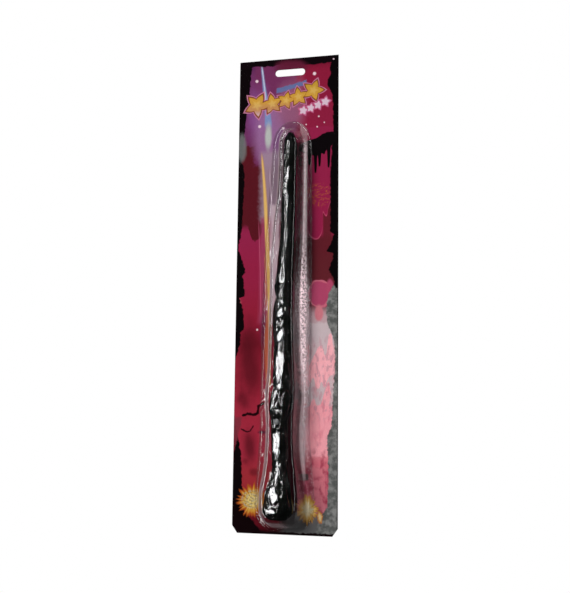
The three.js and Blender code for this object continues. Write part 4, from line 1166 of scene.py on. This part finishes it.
def water_clear_lens():
    """Clear epoxy, as on a water-clear light-emitting diode."""
    material, tree, output = blank_material("led_lens")
    place = places_in_mm(tree)[0]
    principled(
        tree, output, Base_Color=(0.86, 0.9, 0.92), Roughness=noise_of(tree, place, 1.2) * 0.02 + 0.06,
        Transmission_Weight=0.75, IOR=1.5, Normal=bump(tree, noise_of(tree, place, 0.6), 0.01),
    )
    return material


# ---- camera and light -------------------------------------------------------------------------

# The camera's place in millimetres and its turns in degrees; focal is in image widths.

CAMERA = {"place": (181.9, -777.7, 110.7), "yaw": 13.0, "pitch": 7.75, "roll": 0.6, "focal": 1.5088}
SENSOR_WIDTH = 36.0
STUDIO = {"ambient": 0.14, "mirrored": 0.006}


def add_camera():
    """The camera stands low and to the right, and looks slightly up; focal is in image widths."""
    yaw, pitch, roll = (math.radians(CAMERA[key]) for key in ("yaw", "pitch", "roll"))
    ahead = Vector((-math.sin(yaw) * math.cos(pitch), math.cos(yaw) * math.cos(pitch), math.sin(pitch)))
    level = Vector((math.cos(yaw), math.sin(yaw), 0))
    above = level.cross(ahead)
    right = level * math.cos(roll) + above * math.sin(roll)
    up = above * math.cos(roll) - level * math.sin(roll)
    data = bpy.data.cameras.new("camera")
    data.sensor_fit = "HORIZONTAL"
    data.sensor_width = SENSOR_WIDTH
    data.lens = SENSOR_WIDTH * CAMERA["focal"]
    data.clip_start = 0.01
    camera = bpy.data.objects.new("camera", data)
    turn = Matrix((right, up, -ahead)).transposed().to_4x4()
    camera.matrix_world = Matrix.Translation(Vector(CAMERA["place"]) * MM) @ turn
    bpy.context.scene.collection.objects.link(camera)
    bpy.context.scene.camera = camera


def soft_box(name, azimuth, elevation, distance, width, height, power, only=None):
    """An area light aimed at the pack's middle; only limits it to 'diffuse' or 'glossy' rays."""
    target = Vector((0.0, 0.0, 0.22))
    az, el = math.radians(azimuth), math.radians(elevation)
    way = Vector((math.sin(az) * math.cos(el), -math.cos(az) * math.cos(el), math.sin(el)))
    data = bpy.data.lights.new(name, "AREA")
    data.shape = "RECTANGLE"
    data.size, data.size_y = width, height
    data.energy = power
    light = bpy.data.objects.new(name, data)
    light.matrix_world = (
        Matrix.Translation(target + way * distance) @ way.to_track_quat("Z", "Y").to_matrix().to_4x4()
    )
    light.visible_camera = False
    if only:
        light.visible_diffuse = only == "diffuse"
        light.visible_glossy = only == "glossy"
        light.visible_transmission = False
    bpy.context.scene.collection.objects.link(light)
    return light


def link_light(light, pieces, state):
    """Let a light fall on these pieces alone ("INCLUDE"), or on all but them ("EXCLUDE")."""
    linked = bpy.data.collections.new(light.name + "_pieces")
    light.light_linking.receiver_collection = linked
    for piece in pieces:
        linked.objects.link(piece)
    for entry in linked.collection_objects:
        entry.light_linking.link_state = state


def add_world():
    """White behind the pack for the camera, dark in reflections and a grey studio for the rest."""
    world = bpy.data.worlds.new("studio")
    bpy.context.scene.world = world
    world.use_nodes = True
    tree = world.node_tree
    tree.nodes.clear()
    rays = tree.nodes.new("ShaderNodeLightPath")
    shade = Field(tree, rays.outputs["Is Camera Ray"]).math("MAXIMUM", STUDIO["ambient"])
    mirrored = Field(tree, rays.outputs["Is Glossy Ray"]) * (STUDIO["mirrored"] - STUDIO["ambient"])
    glow = tree.nodes.new("ShaderNodeBackground")
    plug(glow.inputs["Color"], (1.0, 1.0, 1.0))
    plug(glow.inputs["Strength"], shade + mirrored)
    output = tree.nodes.new("ShaderNodeOutputWorld")
    tree.links.new(glow.outputs[0], output.inputs["Surface"])


def add_floor():
    """A plain white floor, lit so that it meets the white background without an edge."""
    mesh = bpy.data.meshes.new("floor")
    reach = 4.0
    corners = [(-reach, -reach, 0), (reach, -reach, 0), (reach, reach, 0), (-reach, reach, 0)]
    mesh.from_pydata(corners, [], [(0, 1, 2, 3)])
    floor = add_object("floor", mesh)
    material = bpy.data.materials.new("white_floor")
    material.use_nodes = True
    nodes, links = material.node_tree.nodes, material.node_tree.links
    nodes.clear()
    glow = nodes.new("ShaderNodeEmission")
    output = nodes.new("ShaderNodeOutputMaterial")
    links.new(glow.outputs[0], output.inputs["Surface"])
    mesh.materials.append(material)
    floor.visible_diffuse = False
    floor.visible_glossy = False


# ---- smooth versions of the round pieces ------------------------------------------------------

FACE_DOOR = Matrix.Rotation(math.radians(-90), 4, "X")
FACE_BUTTON = Matrix.Rotation(math.radians(90), 4, "X")
# Radii, and places along each piece's own axis. Profiles are (radius, place) pairs.
BUTTON = {
    "cap": 2.4, "fillet": 0.3, "flange": 3.4, "back": 5.3, "flange_front": 5.9, "shoulder": 7.45,
    "crown": (
        (1.95, 7.78), (1.85, 7.7), (1.72, 7.68), (1.6, 7.74), (1.4, 7.86), (1.0, 7.98), (0.5, 8.07),
        (0.15, 8.09),
    ),
}
SCREW = {
    "root": 0.72, "thread": 0.13, "pitch": 0.7, "slot_half": 1.0, "slot_half_width": 0.18, "slot_depth": 0.5,
    "head": ((1.6, 0), (1.6, 0.45), (1.5, 0.7), (1.25, 0.92), (0.8, 1.05), (0.3, 1.1)),
}
SHELL_SCREW = {"seat": 2.3, "tip": -4}
CAPTIVE_SCREW = {"seat": 5.5, "tip": -3}
CELLS = {
    "count": 3, "bottom": 99.6, "pitch": 5.55, "middle": 107.85, "y": 0.8,
    "profile": (
        (1, 0), (4.6, 0), (4.8, 0.1), (4.9, 0.3), (4.9, 0.8), (5.3, 0.92), (5.6, 1.0), (5.8, 1.25),
        (5.8, 5.0), (5.74, 5.22), (5.55, 5.36), (5.3, 5.4), (4.6, 5.4), (4.5, 5.34), (1, 5.34),
    ),
}
TIP_LIGHT = {"dome": 2.5, "flange": 3.1, "flange_height": 1.1, "below_hole": 0.3}


def rounded(radius, low, high, fillet, steps=5):
    """A lathe profile with filleted ends, from the axis at low to the axis at high."""
    turns = np.radians(np.linspace(0, 90, steps))
    bottom = [(radius - fillet + fillet * math.sin(t), low + fillet * (1 - math.cos(t))) for t in turns]
    top = [(radius - fillet + fillet * math.cos(t), high - fillet + fillet * math.sin(t)) for t in turns]
    return bottom + top


def push_button():
    """The button: a flange under the moulding and a domed cap with a shallow ring."""
    radius, fillet, shoulder = BUTTON["cap"], BUTTON["fillet"], BUTTON["shoulder"]
    corner = [
        (radius - fillet + fillet * math.cos(t), shoulder + fillet * math.sin(t))
        for t in np.radians([25, 50, 75])
    ]
    cap = [(radius, BUTTON["flange_front"]), (radius, shoulder), *corner, *BUTTON["crown"]]
    flange = rounded(BUTTON["flange"], BUTTON["back"], BUTTON["flange_front"], 0.12, 4)
    middle = Vector((float(wand_centre(BUTTON_HEIGHT)), 0, BUTTON_HEIGHT))
    place = WAND_FRAME @ Matrix.Translation(middle) @ FACE_BUTTON
    return turned("button_cap", [(0.3, BUTTON["back"]), *flange, *cap], 64, matrix=place)


def cross_head_screw(name, height, seat, tip):
    """A pan-head screw with a cross recess and a thread, pointing at the button side."""
    x = float(wand_centre(height))
    place = WAND_FRAME @ Matrix.Translation((x, 0, height)) @ FACE_DOOR
    pitch = SCREW["pitch"]
    turns = np.arange(tip + pitch, seat - 0.1, pitch / 8)
    thread = [(SCREW["root"] + SCREW["thread"] * math.cos(2 * math.pi * y / pitch), y) for y in turns]
    head = [(radius, seat + up) for radius, up in SCREW["head"]]
    profile = [(0.25, tip), (0.55, tip + 0.4), *thread, (0.8, seat), *head]
    screw = turned(name, profile, 40, matrix=place)
    top = head[-1][1]
    half, narrow = SCREW["slot_half"], SCREW["slot_half_width"]
    cuts = [
        block("slot", (x - a, top - SCREW["slot_depth"], height - b), (x + a, top + 1, height + b))
        for a, b in ((half, narrow), (narrow, half))
    ]
    return combine(screw, "DIFFERENCE", cuts)


def button_cell(name, bottom):
    """A button cell: a can with a crimped edge and a smaller cap below."""
    x = float(wand_centre(CELLS["middle"]))
    profile = [(radius, bottom + up) for radius, up in CELLS["profile"]]
    return turned(name, profile, 72, offset=(x, CELLS["y"]))


def tip_light():
    """The diode's flange and dome, standing in the hole at the wand's tip."""
    radius, shoulder = TIP_LIGHT["dome"], WAND_LENGTH - TIP_LIGHT["dome"]
    turns = np.radians(np.linspace(0, 86, 14))
    dome = [(radius * math.cos(a), shoulder + radius * math.sin(a)) for a in turns]
    top = CAVITY[1] - TIP_LIGHT["below_hole"]
    bottom = top - TIP_LIGHT["flange_height"]
    flange = rounded(TIP_LIGHT["flange"], bottom, top, 0.15, 4)
    return turned("tip_light", [(1, bottom), *flange, (radius, top + 0.02), *dome], 56)


def stand_in(piece, node, body, material, angle=35.0):
    """Show piece in place of a CAD node, moving with body."""
    smooth(piece, angle)
    piece.data.materials.clear()
    piece.data.materials.append(material)
    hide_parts(node)
    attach(piece, body)


# ---- assembly ---------------------------------------------------------------------------------

materials = {
    "black": moulded_plastic("wand_plastic", (5, 8, 6), (11, 15, 12), 0.05),
    "button": moulded_plastic("button_plastic", (112, 116, 114), (134, 138, 136), 0.3),
    "epoxy": moulded_plastic("epoxy", (8, 8, 9), (20, 20, 22), 0.26, 0.03),
    "red": moulded_plastic("wire_red", (150, 20, 20), (178, 30, 26), 0.42),
    "black_wire": moulded_plastic("wire_black", (14, 14, 15), (26, 26, 28), 0.42),
    "steel": metal("steel", (140, 142, 146), (196, 198, 202), 0.26),
    "can": metal("cell_can", (150, 148, 142), (214, 212, 206), 0.2, (1.0, 1.0, 0.2)),
    "magnet": metal("magnet", (70, 70, 74), (98, 98, 102), 0.4, (1.0, 1.0, 1.0)),
    "paper": fibrous("speaker_paper", (44, 40, 36), (70, 64, 58)),
    "board": board_laminate(),
    "resistor": banded_resistor(),
    "lens": water_clear_lens(),
    "sheet": clear_sheet(),
    "card": card_material(),
}
NODE_MATERIALS = {
    "backing_card": "card", "blister_shell": "sheet", "switch_plunger": "button", "switch_body": "epoxy",
    "circuit_board": "board", "sound_chip": "epoxy", "led_resistor": "resistor", "speaker_cone": "paper",
    "speaker_magnet": "magnet", "speaker_frame": "steel", "battery_contact_positive": "steel",
    "battery_contact_negative": "steel", "battery_spring": "steel", "led_lead_positive": "steel",
    "led_lead_negative": "steel", "led_wire_red": "red", "speaker_wire_red": "red", "battery_wire_red": "red",
    "led_wire_black": "black_wire", "speaker_wire_black": "black_wire", "battery_wire_black": "black_wire",
}
for node, finish in NODE_MATERIALS.items():
    NODES[node].data.materials.clear()
    NODES[node].data.materials.append(materials[finish])

front, rear, door = build_wand_shells()
for piece, node, body in (
    (front, "front_shell", "wand"), (rear, "rear_shell", "wand"), (door, "battery_door", "battery_door"),
):
    stand_in(piece, node, body, materials["black"], 50)
stand_in(build_blister(), "blister_shell", "blister", materials["sheet"], 80)
stand_in(push_button(), "push_button", "push_button", materials["button"])
stand_in(tip_light(), "tip_led", "wand", materials["lens"])
for number, height in enumerate(SCREW_HEIGHTS, 1):
    screw = cross_head_screw(f"joining_screw_{number}", height, **SHELL_SCREW)
    stand_in(screw, f"shell_screw_{number}", "wand", materials["steel"])
stand_in(
    cross_head_screw("captive_door_screw", DOOR["screw"], **CAPTIVE_SCREW),
    "battery_door_screw", "battery_door", materials["steel"],
)
for number in range(CELLS["count"]):
    cell = button_cell(f"button_cell_{number + 1}", CELLS["bottom"] + number * CELLS["pitch"])
    stand_in(cell, f"battery_cell_{number + 1}", "wand", materials["can"])

# ---- the picture ------------------------------------------------------------------------------

bpy.context.scene.view_settings.view_transform = "Standard"
add_camera()
add_world()
add_floor()
# Azimuth and elevation in degrees, then distance, width and height in metres and power in watts.
soft_box("key", -32, 20, 2.4, 0.5, 1.2, 54, "diffuse")
soft_box("fill", 40, 10, 1.5, 0.8, 1.2, 2.0, "diffuse")
soft_box("back_fill", 200, 25, 1.6, 1.0, 1.0, 12, "diffuse")
clear_blister = bpy.data.objects["clear_blister"]
streak = soft_box("streak", -27, 6, 1.0, 0.15, 1.6, 36, "glossy")
link_light(streak, [NODES["backing_card"], clear_blister], "EXCLUDE")
back_streak = soft_box("back_streak", 150, 12, 1.2, 0.16, 1.4, 12, "glossy")
link_light(back_streak, [clear_blister], "EXCLUDE")
for name, azimuth, width, power, only in (
    ("sheet_streak", -27, 0.2, 6, "glossy"),
    ("rim", 72, 0.25, 1.5, "glossy"),
    ("glow", 62, 0.4, 14, "diffuse"),
):
    light = soft_box(name, azimuth, 5, 1.1, width, 1.5, power, only)
    link_light(light, [clear_blister], "INCLUDE")
